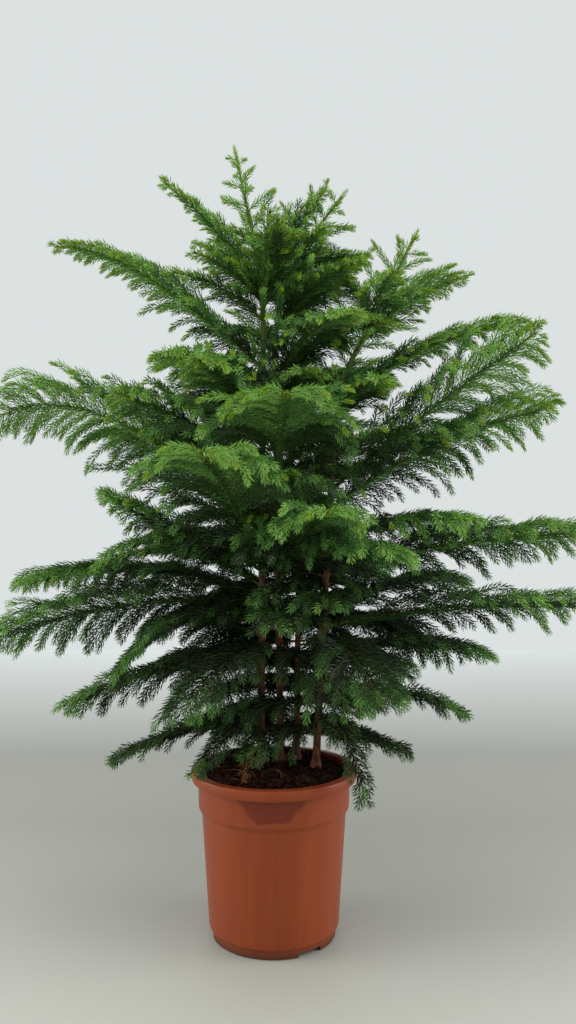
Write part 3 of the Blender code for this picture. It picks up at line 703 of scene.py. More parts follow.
# Azimuth: 0 to the right, 90 to the rear, 180 to the left, 270 to the front. A frond leaves its stem
# at its rise and has bent to its fall at its tip. Late is more than 1 for a bend that comes near the
# tip, roll turns its flat about its own stalk, branchlet is its longest, and bare is its bare bough.
frondKeys = "name stem height azimuth length rise fall late roll branchlet bare".split()
frondTable = [
    ("left_1_side", "left", 0.292, 191, 0.215, 4, -27, 1, 25, 0.070, 0),
    ("left_1_front", "left", 0.302, 236, 0.165, 2, -40, 1, 0, 0.036, 0),
    ("left_2_side", "left", 0.385, 190, 0.285, 2, -26, 1, 30, 0.095, 0),
    ("left_2_front", "left", 0.400, 243, 0.220, 6, -36, 1, 10, 0.090, 0),
    ("left_2_rear", "left", 0.370, 128, 0.270, 10, -22, 1, 0, 0.100, 0),
    ("left_3_side", "left", 0.468, 181, 0.405, 6, -22, 1, 38, 0.115, 0.070),
    ("left_3_far", "left", 0.478, 158, 0.435, 17, -16, 1, 15, 0.105, 0),
    ("left_3_upper", "left", 0.500, 173, 0.270, 26, 30, 1, 30, 0.090, 0),
    ("left_3_front", "left", 0.505, 257, 0.335, 46, 14, 1, 0, 0.165, 0),
    ("left_3_rear", "left", 0.520, 122, 0.340, 22, -8, 1, 0, 0.115, 0),
    ("left_4_side", "left", 0.585, 177, 0.455, 38, -32, 3, 48, 0.125, 0.075),
    ("left_4_front", "left", 0.655, 208, 0.250, 39, 12, 1, 25, 0.095, 0),
    ("left_4_rear", "left", 0.635, 142, 0.330, 34, 0, 1, 0, 0.110, 0),
    ("left_5_side", "left", 0.812, 182, 0.355, 40, 0, 3, 16, 0.095, 0),
    ("left_5_front", "left", 0.719, 232, 0.230, 52, -6, 1, 10, 0.095, 0),
    ("left_5_rear", "left", 0.745, 118, 0.280, 46, 6, 1, 0, 0.095, 0),
    ("left_6_side", "left", 0.920, 187, 0.215, 60, 36, 1, 15, 0.055, 0),
    ("left_6_front", "left", 0.895, 277, 0.160, 66, 26, 1, 0, 0.060, 0),
    ("left_7_right", "left", 0.940, 6, 0.170, 56, 54, 1, -30, 0.065, 0),
    ("middle_1_front", "middle", 0.400, 300, 0.200, 4, -40, 1, 0, 0.090, 0),
    ("middle_2_front", "middle", 0.485, 282, 0.325, 36, 6, 1, 0, 0.120, 0.060),
    ("middle_2_right", "middle", 0.500, 301, 0.290, 28, -6, 1, -10, 0.110, 0),
    ("middle_3_front", "middle", 0.600, 273, 0.315, 46, 8, 1, 0, 0.165, 0),
    ("middle_4_front", "middle", 0.790, 301, 0.225, 44, -8, 1, 0, 0.090, 0),
    ("middle_5_front", "middle", 0.905, 268, 0.150, 58, 20, 1, 0, 0.060, 0),
    ("middle_5_rear", "middle", 0.895, 100, 0.190, 52, 16, 1, 0, 0.070, 0),
    ("middle_5_right", "middle", 0.870, 16, 0.190, 44, 36, 1, -30, 0.070, 0),
    ("right_1_side", "right", 0.327, 349, 0.215, 22, -28, 1, -25, 0.065, 0),
    ("right_1_front", "right", 0.305, 293, 0.185, 14, -76, 1, 0, 0.034, 0),
    ("right_2_side", "right", 0.390, 19, 0.275, 14, -20, 1, -25, 0.090, 0),
    ("right_2_front", "right", 0.420, 288, 0.220, 4, -34, 1, 0, 0.090, 0),
    ("right_3_side", "right", 0.434, 356, 0.395, 13, -3, 1, -28, 0.105, 0.065),
    ("right_3_rear", "right", 0.450, 42, 0.310, 22, -6, 1, 0, 0.105, 0),
    ("right_4_side", "right", 0.517, 0, 0.400, 15, 0, 1, -30, 0.110, 0.065),
    ("right_4_front", "right", 0.555, 322, 0.230, 24, -6, 1, 0, 0.090, 0),
    ("right_5_lower", "right", 0.606, 8, 0.375, 36, 12, 1, -38, 0.105, 0),
    ("right_5_upper", "right", 0.632, 349, 0.360, 40, 34, 1, -42, 0.110, 0.060),
    ("right_6_side", "right", 0.751, 1, 0.308, 43, 6, 1, -15, 0.065, 0),
    ("right_6_rear", "right", 0.735, 78, 0.270, 42, 4, 1, 0, 0.095, 0),
    ("right_7_side", "right", 0.840, 8, 0.195, 52, 14, 1, -20, 0.085, 0),
    ("back_1_rear", "back", 0.360, 96, 0.260, 8, -24, 1, 0, 0.100, 0),
    ("back_2_right", "back", 0.470, 62, 0.330, 24, -8, 1, 0, 0.115, 0),
    ("back_3_left", "back", 0.560, 104, 0.310, 34, 0, 1, 0, 0.110, 0),
    ("back_4_right", "back", 0.640, 48, 0.290, 38, 4, 1, 0, 0.105, 0),
]
fronds = [dict(zip(frondKeys, row)) for row in frondTable]


def direction(azimuth, slope):
    turn, tilt = radians(azimuth), radians(slope)
    return Vector((cos(tilt) * cos(turn), cos(tilt) * sin(turn), sin(tilt)))


def along(path, distance):
    step = (path[1] - path[0]).length
    index = max(0, min(int(distance / step), len(path) - 2))
    run = (path[index + 1] - path[index]).normalized()
    return path[index] + run * (distance - index * step), run


def stretch(path, start, end, count):
    return [along(path, start + (end - start) * i / count)[0] for i in range(count + 1)]


def ramp(first, last, count):
    return [first + (last - first) * i / count for i in range(count + 1)]


def stemPath(stem):
    # From the foot up through the leader: a little lean, then a smooth bend to one side.
    count = 2 * growth["pathSteps"]
    step = (stem["length"] + stem["leader"]) / count
    points = [Vector((*stem["foot"], growth["stemStart"]))]
    for i in range(count):
        bend = min(1, max(0, ((i + 0.5) * step - stem["bendStart"]) / stem["bendSpan"]))
        bend = bend * bend * (3 - 2 * bend)
        lean = stem["lowLean"] + (stem["topLean"] - stem["lowLean"]) * bend
        points.append(points[-1] + step * direction(stem["toward"], 90 - lean))
    return points


def frondPath(frond, stemPoints):
    start = next(a + (b - a) * ((frond["height"] - a.z) / (b.z - a.z))
                 for a, b in zip(stemPoints, stemPoints[1:]) if b.z > frond["height"])
    step = frond["length"] / growth["pathSteps"]
    points = [start]
    for i in range(growth["pathSteps"]):
        bend = ((i + 0.5) / growth["pathSteps"]) ** frond["late"]
        slope = frond["rise"] + (frond["fall"] - frond["rise"]) * bend
        points.append(points[-1] + step * direction(frond["azimuth"], slope))
    return points


def flatSide(run, roll):
    level = run.cross(Vector((0, 0, 1))).normalized()
    return Matrix.Rotation(radians(roll), 3, run) @ level


# Foliage: strands are gathered first, each kind apart, and the trees then dress them

foliage = {
    "branchletSpacing": 0.0104,
    "lowSpacing": 0.0135,  # at the foot of the plant, where the fronds are thin
    "lowBelow": 0.46,
    "topFrom": 0.70,  # from here up the fronds are younger: stiffer and more pointed
    "topFull": 0.90,
    "branchletSteps": 8,
    "firstBranchlet": 0.010,
    "leastBranchlet": 0.014,
    "stalkCoats": 2,  # how many times over the stalk is dressed with needles of its own
    "brushLength": 0.03,
    "forward": 48,
    "turn": -10,
    "lift": 14,  # how steeply both sides of a frond rise from its stalk
    "droop": (32, 16),  # low down and at the top, as the next two
    "hook": (26, 16),
    "taper": (0.4, 0.85),
    "tipLength": 0.016,
    "longShare": 0.10,  # how many branchlets outgrow the others, and by how much
    "longer": 1.35,
    "limeFrom": 0.50,  # the height where the first bright tips show, and where nearly all are bright
    "limeFull": 1.08,
    "limeStalks": 0.58,  # only stalks that end above this height have a bright end
    "twigRadius": (0.0009, 0.0005),
    "stalkRadius": (0.0020, 0.0009),
    "shootSpacing": 0.0085,
    "shootFrom": 0.62,
    "shootLength": (0.015, 0.075),
    "shootSlopes": (62, 4, 10),  # forward, lift and droop
    "tuftLength": 0.035,
    # a shoot's length as a share of its distance from the top
    "shootShare": {"left": 0.60, "middle": 0.95, "right": 0.85, "back": 0.80},
    "stemClearance": 0.007,
    # how fresh and how lit a spray is painted, its age mixed with painted light and shade: 0 at the foot and
    # by the stems, then more with height, reach and its own tip
    "lightFoot": -0.26,
    "lightByHeight": 0.75,
    "lightByReach": 0.52,
    "lightByTip": 0.38,
    "lightSpread": 0.14,
    "shades": ((0.32, "inner"), (0.55, "old"), (0.74, "grown")),
    "tipOf": {"inner": "old", "old": "grown", "grown": "fresh", "fresh": "fresh"},  # where it isn't lime
}

# Fronds that the solids leave out: small ones near the tops, thin ends and short ones at the rear.
smallTable = [
    ("left_5_lower", "left", 0.880, 204, 0.150, 44, 2, 1, 15, 0.045, 0),
    ("left_5_higher", "left", 0.905, 214, 0.130, 48, 6, 1, 15, 0.042, 0),
    ("left_4_middle", "left", 0.690, 247, 0.225, 46, 10, 1, 0, 0.090, 0),
    ("left_3_thin", "left", 0.512, 196, 0.245, 42, -28, 1, 20, 0.032, 0),
    ("left_3_low", "left", 0.490, 186, 0.255, 42, -26, 1, 15, 0.030, 0),
    ("left_6_far", "left", 0.915, 150, 0.150, 56, 24, 1, 0, 0.050, 0),
    ("middle_6_front", "middle", 0.930, 300, 0.130, 52, 6, 1, 0, 0.055, 0),
    ("middle_6_left", "middle", 0.935, 200, 0.110, 60, 24, 1, 15, 0.045, 0),
    ("middle_6_right", "middle", 0.945, 350, 0.120, 40, -16, 1, -15, 0.050, 0),
    ("middle_4_right", "middle", 0.800, 335, 0.200, 42, -4, 1, -15, 0.075, 0),
    ("middle_2_left", "middle", 0.468, 172, 0.190, 4, -26, 1, 0, 0.090, 0),
    ("middle_2_rear", "middle", 0.455, 75, 0.200, 2, -24, 1, 0, 0.090, 0),
    ("back_2_left", "back", 0.480, 140, 0.210, 2, -26, 1, 0, 0.095, 0),
    ("back_2_rear", "back", 0.440, 30, 0.200, 4, -22, 1, 0, 0.095, 0),
    ("right_3_inner", "right", 0.470, 105, 0.200, 4, -26, 1, 0, 0.090, 0),
    ("left_3_inner", "left", 0.450, 96, 0.190, 4, -24, 1, 0, 0.090, 0),
    ("left_2_upper", "left", 0.435, 203, 0.235, 24, -52, 1, 15, 0.100, 0),
    ("left_2_low", "left", 0.415, 125, 0.190, 20, -52, 1, 10, 0.090, 0),
    ("back_2_low", "back", 0.420, 72, 0.200, 20, -55, 1, 0, 0.090, 0),
    ("middle_2_low", "middle", 0.405, 110, 0.190, 18, -50, 1, 0, 0.090, 0),
    ("right_2_upper", "right", 0.430, 42, 0.220, 22, -48, 1, 0, 0.095, 0),
    ("back_2_inner", "back", 0.500, 185, 0.200, -4, -30, 1, 0, 0.095, 0),
    ("back_1_inner", "back", 0.405, 165, 0.180, 0, -24, 1, 0, 0.085, 0),
    ("back_1_right", "back", 0.400, 15, 0.180, 0, -24, 1, 0, 0.085, 0),
    ("middle_1_rear", "middle", 0.350, 110, 0.160, 0, -24, 1, 0, 0.080, 0),
    ("middle_5_thin", "middle", 0.865, 326, 0.170, 50, 10, 1, -10, 0.070, 0),
    ("middle_5_wide", "middle", 0.885, 10, 0.150, 42, 28, 1, -25, 0.080, 0),
    ("right_8_front", "right", 0.860, 285, 0.130, 50, 6, 1, 0, 0.055, 0),
    ("right_8_left", "right", 0.880, 190, 0.090, 62, 30, 1, 15, 0.040, 0),
]

filling = {
    # Shorter fronds that fill each stem's whorls out between the others.
    "seed": 19,
    "lowest": 0.285,
    "highest": 0.900,
    "whorlSpacing": 0.050,
    "each": (6, 2),
    "length": (0.125, 0.150),  # low down and at the top
    "branchlet": (0.070, 0.058),
    "rise": (10, 52),
    "fall": (-24, 6),
    "apart": 24,  # least angle to a neighbour in the same whorl
    "nearby": 0.045,
    "stemGap": 0.013,
    "openBelow": 0.44,  # below this height the front of the stems stays open
}

needleKinds = {
    # length, half width, angle from the twig, spacing along it, least and most size, lean spread
    "inner": (0.0130, 0.00095, 45, 0.00110, 0.85, 1.08, 0.10),
    "old": (0.0128, 0.00095, 44, 0.00098, 0.85, 1.08, 0.10),
    "grown": (0.0126, 0.00095, 43, 0.00092, 0.85, 1.08, 0.10),
    "fresh": (0.0124, 0.00095, 42, 0.00090, 0.85, 1.08, 0.10),
    "tip": (0.0104, 0.00090, 31, 0.00062, 0.80, 1.05, 0.12),
    "dead": (0.0080, 0.00060, 40, 0.00110, 0.70, 1.05, 0.35),
}

strands = {}  # (kind, stem): strands as lists of (point, value), the value a size or a thickness
draw = random.Random(growth["seed"])
stemPaths = {name: stemPath(stem) for name, stem in stems.items()}
stemPoints = [along(path, 0.004 * i)[0] for name, path in stemPaths.items()
              for i in range(int(stems[name]["length"] / 0.004))]
stemTree = KDTree(len(stemPoints))
for i, point in enumerate(stemPoints):
    stemTree.insert(point, i)
stemTree.balance()
lowCorner, highCorner = (Vector(corner) for corner in cadBox)
crown = {"middle": (0.02, 0.03), "foot": 0.30, "height": 0.80, "reach": 0.40}


def addStrand(kind, stem, points, values):
    strands.setdefault((kind, stem), []).append(list(zip(points, values)))


def isFree(path):
    # Whether a branchlet keeps clear of the stems and the pot, and inside the crown's own box.
    for point in path[2:]:
        if stemTree.find(point)[2] < foliage["stemClearance"]:
            return False
        if point.z < pot["height"] + 0.006 and Vector((point.x, point.y)).length < pot["rimRadius"] + 0.004:
            return False
    tip = path[-1]
    return all(lowCorner[i] - 0.006 < tip[i] < highCorner[i] + 0.006 for i in range(3))


def shadeOf(point, outward):
    # Older and darker low down and deep inside, fresher towards the top and the tips: partly age, partly
    # painted shade where the crown shades itself, and partly painted light where light falls on the top and
    # the outer tips.
    reach = Vector((point.x - crown["middle"][0], point.y - crown["middle"][1])).length
    light = foliage["lightFoot"] + foliage["lightByHeight"] * (point.z - crown["foot"]) / crown["height"]
    light += foliage["lightByReach"] * reach / crown["reach"] + foliage["lightByTip"] * outward
    light += draw.uniform(-foliage["lightSpread"], foliage["lightSpread"])
    return next((kind for limit, kind in foliage["shades"] if light < limit), "fresh")


def between(pair, share):
    return pair[0] + (pair[1] - pair[0]) * share


def shareOf(value, first, last):
    return min(1, max(0, (value - first) / (last - first)))


def growBranchlet(stem, root, run, across, length, forward, lift, droop, outward):
    # One row of needles: it rises from the stalk, bends over, and hooks down at its tip.
    steps = foliage["branchletSteps"]
    youth = shareOf(root.z, foliage["topFrom"], foliage["topFull"])
    hook = between(foliage["hook"], youth) * draw.uniform(0.3, 1.4)
    path = [root.copy()]
    for i in range(steps):
        share = (i + 0.5) / steps
        angle = radians(forward + foliage["turn"] * share)
        sink = radians((droop + lift) * share - lift + hook * max(0, share - 0.6) / 0.4)
        way = cos(sink) * (cos(angle) * run + sin(angle) * across) - sin(sink) * Vector((0, 0, 1))
        path.append(path[-1] + way.normalized() * length / steps)
    if not isFree(path):
        return
    tipLength = min(foliage["tipLength"] * draw.uniform(0.6, 1.3), 0.5 * length)
    kind = shadeOf(path[steps // 2], outward)
    lime = shareOf(path[-1].z, foliage["limeFrom"], foliage["limeFull"]) * (0.2 + 1.0 * outward)
    lime *= 0.3 if kind == "inner" else 1
    tipKind = "tip" if draw.random() < lime else foliage["tipOf"][kind]
    addStrand("twig", stem, stretch(path, 0, length, 3), ramp(*foliage["twigRadius"], 3))
    addStrand(kind, stem, stretch(path, 0.004, length - tipLength, 5), [0.95, 1, 1, 1, 1, 0.97])
    addStrand(tipKind, stem, stretch(path, length - tipLength, length + 0.0015, 3), [1, 0.95, 0.8, 0.5])


def growFrond(frond):
    path = frondPath(frond, stemPaths[frond["stem"]])
    length = frond["length"]
    start = max(frond["bare"], foliage["firstBranchlet"])
    stalkSteps = growth["pathSteps"]
    first, last = foliage["stalkRadius"]
    addStrand("stalk", frond["stem"], stretch(path, 0.002, length, stalkSteps), ramp(first, last, stalkSteps))
    low = frond["height"] < foliage["lowBelow"]
    count = round((length - start) / foliage["lowSpacing" if low else "branchletSpacing"])
    youth = shareOf(frond["height"], foliage["topFrom"], foliage["topFull"])
    for side in (1, -1):
        for i in range(count):
            distance = start + (length - start) * (i + 0.5 + draw.uniform(-0.25, 0.25)) / count
            share = distance / length
            root, run = along(path, distance)
            across = side * flatSide(run, frond["roll"] + draw.uniform(-9, 9))
            reach = frond["branchlet"] * min(1.2, 0.6 + 2.4 * share)
            reach *= (1 - share) ** between(foliage["taper"], youth) * draw.uniform(0.72, 1.10)
            reach *= foliage["longer"] if draw.random() < foliage["longShare"] else 1
            growBranchlet(
                frond["stem"], root, run, across, max(reach, foliage["leastBranchlet"]),
                foliage["forward"] + draw.uniform(-7, 7),
                foliage["lift"] * draw.uniform(0.6, 1.4),
                between(foliage["droop"], youth) * draw.uniform(0.6, 1.4), share)
    # Needles on the stalk itself, and the brush at its end.
    middle = along(path, length * 0.6)[0]
    brush = length - foliage["brushLength"]
    for _ in range(foliage["stalkCoats"]):
        addStrand(shadeOf(middle, 0.5), frond["stem"], stretch(path, 0.012, brush, 12), [1] * 13)
    endKind = "tip" if path[-1].z > foliage["limeStalks"] else "grown"
    addStrand(endKind, frond["stem"], stretch(path, brush, length + 0.002, 4), [1, 1, 0.95, 0.8, 0.5])


def fillWhorls():
    chance = random.Random(filling["seed"])
    grown = list(fronds)
    turn = 0
    for name, stem in stems.items():
        top = min(filling["highest"], along(stemPaths[name], stem["length"])[0].z - 0.01)
        height = filling["lowest"]
        while height < top:
            share = shareOf(height, filling["lowest"], filling["highest"])
            for _ in range(round(between(filling["each"], share))):
                turn = (turn + goldenAngle + chance.uniform(-12, 12)) % 360
                frond = dict(
                    stem=name, height=height + chance.uniform(-0.02, 0.02), azimuth=turn,
                    length=between(filling["length"], share) * chance.uniform(0.75, 1.1),
                    rise=between(filling["rise"], share) + chance.uniform(-6, 6),
                    fall=between(filling["fall"], share) + chance.uniform(-8, 8), late=1, roll=0,
                    branchlet=between(filling["branchlet"], share) * chance.uniform(0.85, 1.1), bare=0)
                crowded = any(
                    other["stem"] == name and abs(other["height"] - frond["height"]) < filling["nearby"]
                    and abs((other["azimuth"] - turn + 180) % 360 - 180) < filling["apart"]
                    for other in grown)
                path = frondPath(frond, stemPaths[name])
                blocked = min(stemTree.find(point)[2] for point in path[3:]) < filling["stemGap"]
                inTheWay = frond["height"] < filling["openBelow"] and 232 < turn < 308
                if not (crowded or blocked or inTheWay):
                    grown.append(frond)
            height += filling["whorlSpacing"]
    return grown[len(fronds):]


def growLeader(name, stem):
    # The top of a stem: needles all round it, and shoots one after another a golden angle on.
    path = stemPaths[name]
    whole = stem["length"] + stem["leader"]
    tuftStart = whole - foliage["tuftLength"]
    addStrand("stalk", name, stretch(path, stem["length"] - 0.004, whole - 0.004, 10),
              ramp(stem["tipRadius"] * 0.9, 0.0011, 10))
    addStrand("fresh", name, stretch(path, stem["length"] * 0.72, tuftStart, 20), [0.9] * 21)
    addStrand("tip", name, stretch(path, tuftStart, whole + 0.006, 4), [1, 1, 0.95, 0.85, 0.6])
    distance = stem["length"] * foliage["shootFrom"]
    turn = 0
    shortest, longest = foliage["shootLength"]
    while distance < whole - 0.012:
        root, run = along(path, distance)
        level = run.cross(Vector((0, 1, 0))).normalized()
        across = Matrix.Rotation(radians(turn), 3, run) @ level
        length = min(longest, max(shortest, foliage["shootShare"][name] * (whole - distance)))
        length *= draw.uniform(0.85, 1.1)
        growBranchlet(name, root, run, across, length, *foliage["shootSlopes"], 0.9)
        turn += goldenAngle
        distance += foliage["shootSpacing"] * draw.uniform(0.8, 1.2)


litter = {
    # Dry bits on the soil: a dead sprig that leans on the front of the rim, and straw and root fibres.
    "seed": 5,
    "sprig": (Vector((-0.033, -0.010, 0.262)), Vector((-0.040, -0.085, 0.240))),
    "sprigSag": 0.006,
    "sprigShoots": 7,
    "sprigSpacing": 0.0085,
    "sprigShoot": 0.013,
    "straws": 12,
    "strawLength": (0.015, 0.042),
    "strawRadius": 0.00035,
    "strawReach": 0.095,
    "strawCurl": 2.2,
    "strawLift": (0.001, 0.012),
}


def dropLitter():
    chance = random.Random(litter["seed"])
    first, last = litter["sprig"]
    path = [first.lerp(last, i / 12) + Vector((0, 0, litter["sprigSag"] * sin(pi * i / 12)))
            for i in range(13)]
    addStrand("straw", "soil", path, ramp(0.0009, 0.0005, 12))
    addStrand("dead", "left", path, [1] * 13)
    for i in range(litter["sprigShoots"]):
        root, run = along(path, (i + 1.5) * litter["sprigSpacing"])
        way = (run + (1 if i % 2 else -1) * flatSide(run, 20)).normalized()
        shoot = [root + way * litter["sprigShoot"] * k / 3 for k in range(4)]
        addStrand("dead", "left", shoot, [1, 1, 0.9, 0.6])
    for _ in range(litter["straws"]):
        turn, reach = chance.uniform(0, tau), litter["strawReach"] * sqrt(chance.random())
        heading, curl = chance.uniform(0, tau), chance.uniform(-litter["strawCurl"], litter["strawCurl"])
        lift = chance.uniform(*litter["strawLift"])
        x, y = reach * cos(turn), reach * sin(turn)
        length = chance.uniform(*litter["strawLength"])
        path = []
        for i in range(9):
            path.append(Vector((x, y, soilHeight(x, y) + 0.001 + lift * sin(pi * i / 8))))
            x += length / 8 * cos(heading + curl * i / 8)
            y += length / 8 * sin(heading + curl * i / 8)
        if max(sqrt(point.x ** 2 + point.y ** 2) for point in path) < soil["radius"] - 0.002:
            addStrand("straw", "soil", path, [litter["strawRadius"] * chance.uniform(0.7, 1.5)] * 9)


dropLitter()
fronds += [dict(zip(frondKeys, row)) for row in smallTable]
fronds += fillWhorls()
for frond in fronds:
    growFrond(frond)
for name, stem in stems.items():
    growLeader(name, stem)
print("fronds:", len(fronds), "strands grown:", sum(len(group) for group in strands.values()))


def hostMesh(name, group, attribute):
    mesh = bpy.data.meshes.new(name)
    points = [tuple(point) for strand in group for point, _ in strand]
    edges = []
    count = 0
    for strand in group:
        edges += [(count + i, count + i + 1) for i in range(len(strand) - 1)]
        count += len(strand)
    mesh.from_pydata(points, edges, [])
    layer = mesh.attributes.new(attribute, "FLOAT", "POINT")
    layer.data.foreach_set("value", [value for strand in group for _, value in strand])
    return newObject(name, mesh)


def makeNeedle(name, length, halfWidth, angle):
    # A needle, folded along its keel and curved in towards the twig, its foot on the twig's axis.
    lean = radians(angle)
    out = Vector((sin(lean), 0, cos(lean)))
    inward = Vector((-cos(lean), 0, sin(lean)))
    side = Vector((0, 1, 0))
    keel = out * length * 0.50 - inward * 0.09 * length
    points = [
        Vector((0, 0, 0)),
        keel + side * halfWidth + inward * halfWidth * 0.6,
        keel - side * halfWidth + inward * halfWidth * 0.6,
        out * length + inward * 0.10 * length,
    ]
    mesh = bpy.data.meshes.new(name)
    mesh.from_pydata([tuple(point) for point in points], [], [(0, 3, 1), (0, 2, 3)])
    return newObject(name, mesh)


def massesOf(stem):
    return [node for node in nodeNames if node.startswith("foliage_" + stem)]


def dressStrands():
    for (kind, stem), group in sorted(strands.items()):
        if kind in ("twig", "stalk", "straw"):
            continue
        name = f"needles_{kind}_{stem}"
        length, halfWidth, angle, spacing, least, most, spread = needleKinds[kind]
        needle = makeNeedle("needle", length, halfWidth, angle)
        host = hostMesh(name, group, "size")
        runTree(host, needleTree, {
            "Needle": needle, "Spacing": spacing, "Least Size": least, "Most Size": most,
            "Lean Spread": spread, "Seed": growth["seed"], "Material": materials[kind]})
        piece = settled(host, name)
        bpy.data.objects.remove(needle)
        handOver(piece, massesOf(stem))
        print(name, len(piece.data.polygons), "faces")


def dressTwigs():
    for kind, sides, material in (("twig", 3, "twig"), ("stalk", 6, "bough")):
        for stem in stems:
            name = f"{kind}s_{stem}"
            host = hostMesh(name, strands[kind, stem], "thickness")
            runTree(host, strandTree, {"Sides": sides, "Material": materials[material]})
            piece = settled(host, name)
            piece.data.shade_smooth()
            boughs = [node for node in nodeNames if node.startswith("bough_" + stem)]
            handOver(piece, massesOf(stem) + (boughs if kind == "stalk" else []))
            print(name, len(piece.data.polygons), "faces")
    host = hostMesh("straws", strands["straw", "soil"], "thickness")
    runTree(host, strandTree, {"Sides": 5, "Material": materials["straw"]})
    handOver(settled(host, "straws"), ["soil"])


dressStrands()
dressTwigs()
print("foliage made")


# Stems: bark in relief

stemBark = {
    "sides": 18,
    "ringSpacing": 0.0026,
    "relief": 0.00042,
    "scarSpacing": 0.0085,
    "scarHeight": 0.00035,
    "peg": (0.0078, 0.0006, 55),  # length, half width, angle from the stem
    "pegSpacing": 0.0022,
    "footSunk": 0.004,
}


def barkTube(name, path, start, end, radiusAt, lift, finish="bark"):
    # A tube whose skin is lumpy, with a low ring at each old needle scar.
    count = int((end - start) / stemBark["ringSpacing"])
    shape = bmesh.new()
    rings = []
    for k in range(count + 1):
        distance = start + (end - start) * k / count
        middle, run = along(path, distance)
        side = flatSide(run, 0) if abs(run.z) < 0.99 else Vector((1, 0, 0))
        side = (side - run * side.dot(run)).normalized()
        up = run.cross(side)
        scar = max(0, cos(tau * distance / stemBark["scarSpacing"])) ** 6
        ring = []
        for i in range(stemBark["sides"]):
            turn = tau * i / stemBark["sides"]
            way = cos(turn) * side + sin(turn) * up
            rough = noise.fractal((middle + way * 0.006) * 160, 1.0, 2.0, 3)
            radius = radiusAt(distance) + stemBark["relief"] * rough + stemBark["scarHeight"] * scar * lift
            ring.append(shape.verts.new(middle + way * radius))
        rings.append(ring)
    for low, high in zip(rings, rings[1:]):
        for i in range(stemBark["sides"]):
            j = (i + 1) % stemBark["sides"]
            shape.faces.new((low[i], low[j], high[j], high[i]))
    shape.faces.new(list(reversed(rings[0])))
    shape.faces.new(rings[-1])
    bmesh.ops.recalc_face_normals(shape, faces=shape.faces)
    mesh = meshOf(shape, name)
    mesh.shade_smooth()
    return newObject(name, mesh, materials[finish])


def makeStems():
    for name, stem in stems.items():
        def radiusAt(distance):
            flare = growth["flare"] * max(0, 1 - distance / growth["flareHeight"]) ** 2
            taper = (stem["tipRadius"] - stem["radius"]) * distance / stem["length"]
            return stem["radius"] + taper + flare
        tube = barkTube(f"bark_{name}", stemPaths[name], 0, stem["length"], radiusAt, 1)
        for vertex in tube.data.vertices:
            if vertex.co.z < growth["stemStart"] + 0.002:
                vertex.co.z -= stemBark["footSunk"]  # into the loose top of the soil
        handOver(tube, [name + "_stem"])
        group = [list(zip(stretch(stemPaths[name], 0.02, stem["length"] * 0.8, 40), [1] * 41))]
        host = hostMesh(f"pegs_{name}", group, "size")
        peg = makeNeedle("peg", *stemBark["peg"])
        runTree(host, needleTree, {
            "Needle": peg, "Spacing": stemBark["pegSpacing"], "Least Size": 0.8, "Most Size": 1.15,
            "Lean Spread": 0.3, "Seed": 3, "Material": materials["bark"]})
        piece = settled(host, f"pegs_{name}")
        bpy.data.objects.remove(peg)
        handOver(piece, [name + "_stem"])


def makeBoughs():
    # The bare foot of a frond's stalk, where it shows between the stem and the first branchlets.
    thick, thin = foliage["stalkRadius"]
    for frond in fronds:
        if not frond["bare"]:
            continue
        path = frondPath(frond, stemPaths[frond["stem"]])
        reach = frond["bare"] + 0.03

        def radiusAt(distance):
            return thick + (thin - thick) * distance / frond["length"] + 0.0003
        tube = barkTube("bark_" + frond["name"], path, 0.002, reach, radiusAt, 0.6, "bough")
        handOver(tube, ["bough_" + frond["name"]])


makeStems()
makeBoughs()
print("stems made")


# Floor, light and camera

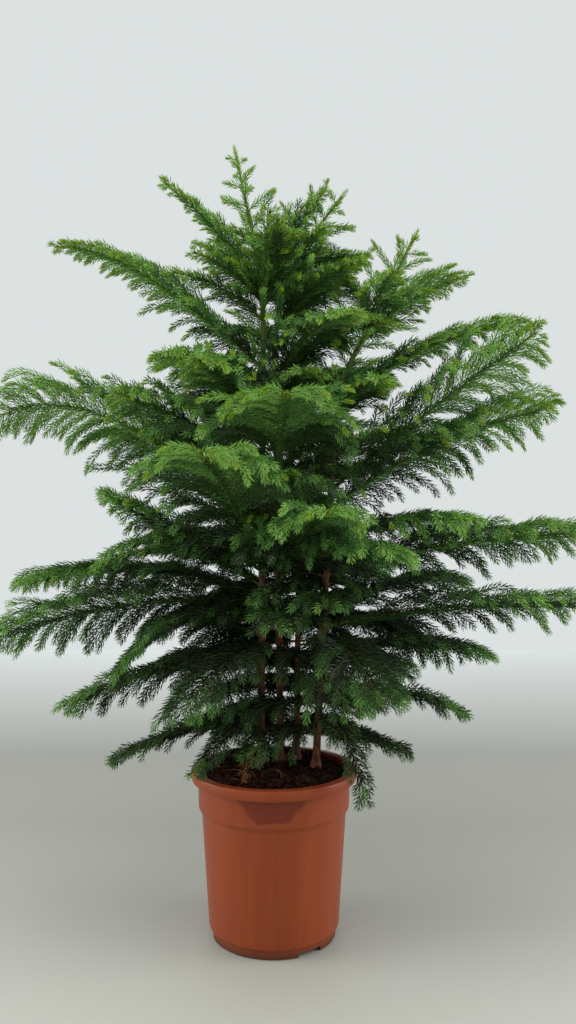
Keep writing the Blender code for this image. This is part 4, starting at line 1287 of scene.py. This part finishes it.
studio = {
    "floorSize": 5.3,
    # The floor's tones from front to back, as a painted sweep: a band of painted shade behind the pot, then
    # painted light towards the back, so that it ends as light as the room behind it.
    "floorNear": -0.5,
    "floor": [(0.0, "#bebeb4"), (0.30, "#929289"), (0.46, "#91918a"), (1.0, "#f0f3f2")],
    "sky": "#dfe4e4",
    "skyStrength": 0.97,
    "lamps": (  # name, size, power, place and aim
        ("overhead", 1.8, 22, (-0.3, -0.5, 2.6), (0, 0, 0.6)),
        ("leftSide", 1.4, 30, (-2.2, -0.2, 1.0), (0, 0, 0.4)),
        ("rightSide", 1.4, 30, (2.2, -0.2, 1.0), (0, 0, 0.4)),
    ),
    "cameraAt": (0.02, -1.30, 0.60),
    "lens": 31.85,
    "sensor": 36,
}


def makeStudio():
    bpy.ops.mesh.primitive_plane_add(size=studio["floorSize"], location=(0, 0, -0.0005))
    floor = bpy.context.object
    floor.name = "floor"
    paint, tree, shader = newMaterial("floorPaintedShadeAndLight", {"Roughness": 0.55})
    place = addNode(tree, "ShaderNodeTexCoord")
    depth = addNode(tree, "ShaderNodeSeparateXYZ", links={"Vector": place.outputs["Object"]})
    back = addNode(
        tree, "ShaderNodeMapRange", {"From Min": studio["floorNear"], "From Max": studio["floorSize"] / 2},
        {"Value": depth.outputs["Y"]})
    # painted shade behind the pot and painted light further back, laid into the floor's colour
    paintedShadeAndLight = addNode(tree, "ShaderNodeValToRGB", {"stops": studio["floor"]}, {"Fac": back.outputs[0]})
    tree.links.new(paintedShadeAndLight.outputs["Color"], shader.inputs["Base Color"])
    floor.data.materials.append(paint)

    world = bpy.data.worlds.new("paleRoom")
    bpy.context.scene.world = world
    world.use_nodes = True
    sky = world.node_tree.nodes["Background"]
    sky.inputs["Color"].default_value = toLinear(studio["sky"])
    sky.inputs["Strength"].default_value = studio["skyStrength"]

    for name, size, power, place, aim in studio["lamps"]:
        light = bpy.data.lights.new(name, "AREA")
        light.size = size
        light.energy = power
        lamp = bpy.data.objects.new(name, light)
        lamp.location = place
        lamp.visible_camera = False
        lamp.rotation_euler = (Vector(aim) - Vector(place)).to_track_quat("-Z", "Y").to_euler()
        bpy.context.scene.collection.objects.link(lamp)

    lens = bpy.data.cameras.new("camera")
    lens.sensor_width = studio["sensor"]
    lens.lens = studio["lens"]
    camera = bpy.data.objects.new("camera", lens)
    camera.location = studio["cameraAt"]
    camera.rotation_euler = (pi / 2, 0, 0)
    bpy.context.scene.collection.objects.link(camera)
    bpy.context.scene.camera = camera
    bpy.context.scene.view_settings.view_transform = "Standard"


makeStudio()
print("studio made")
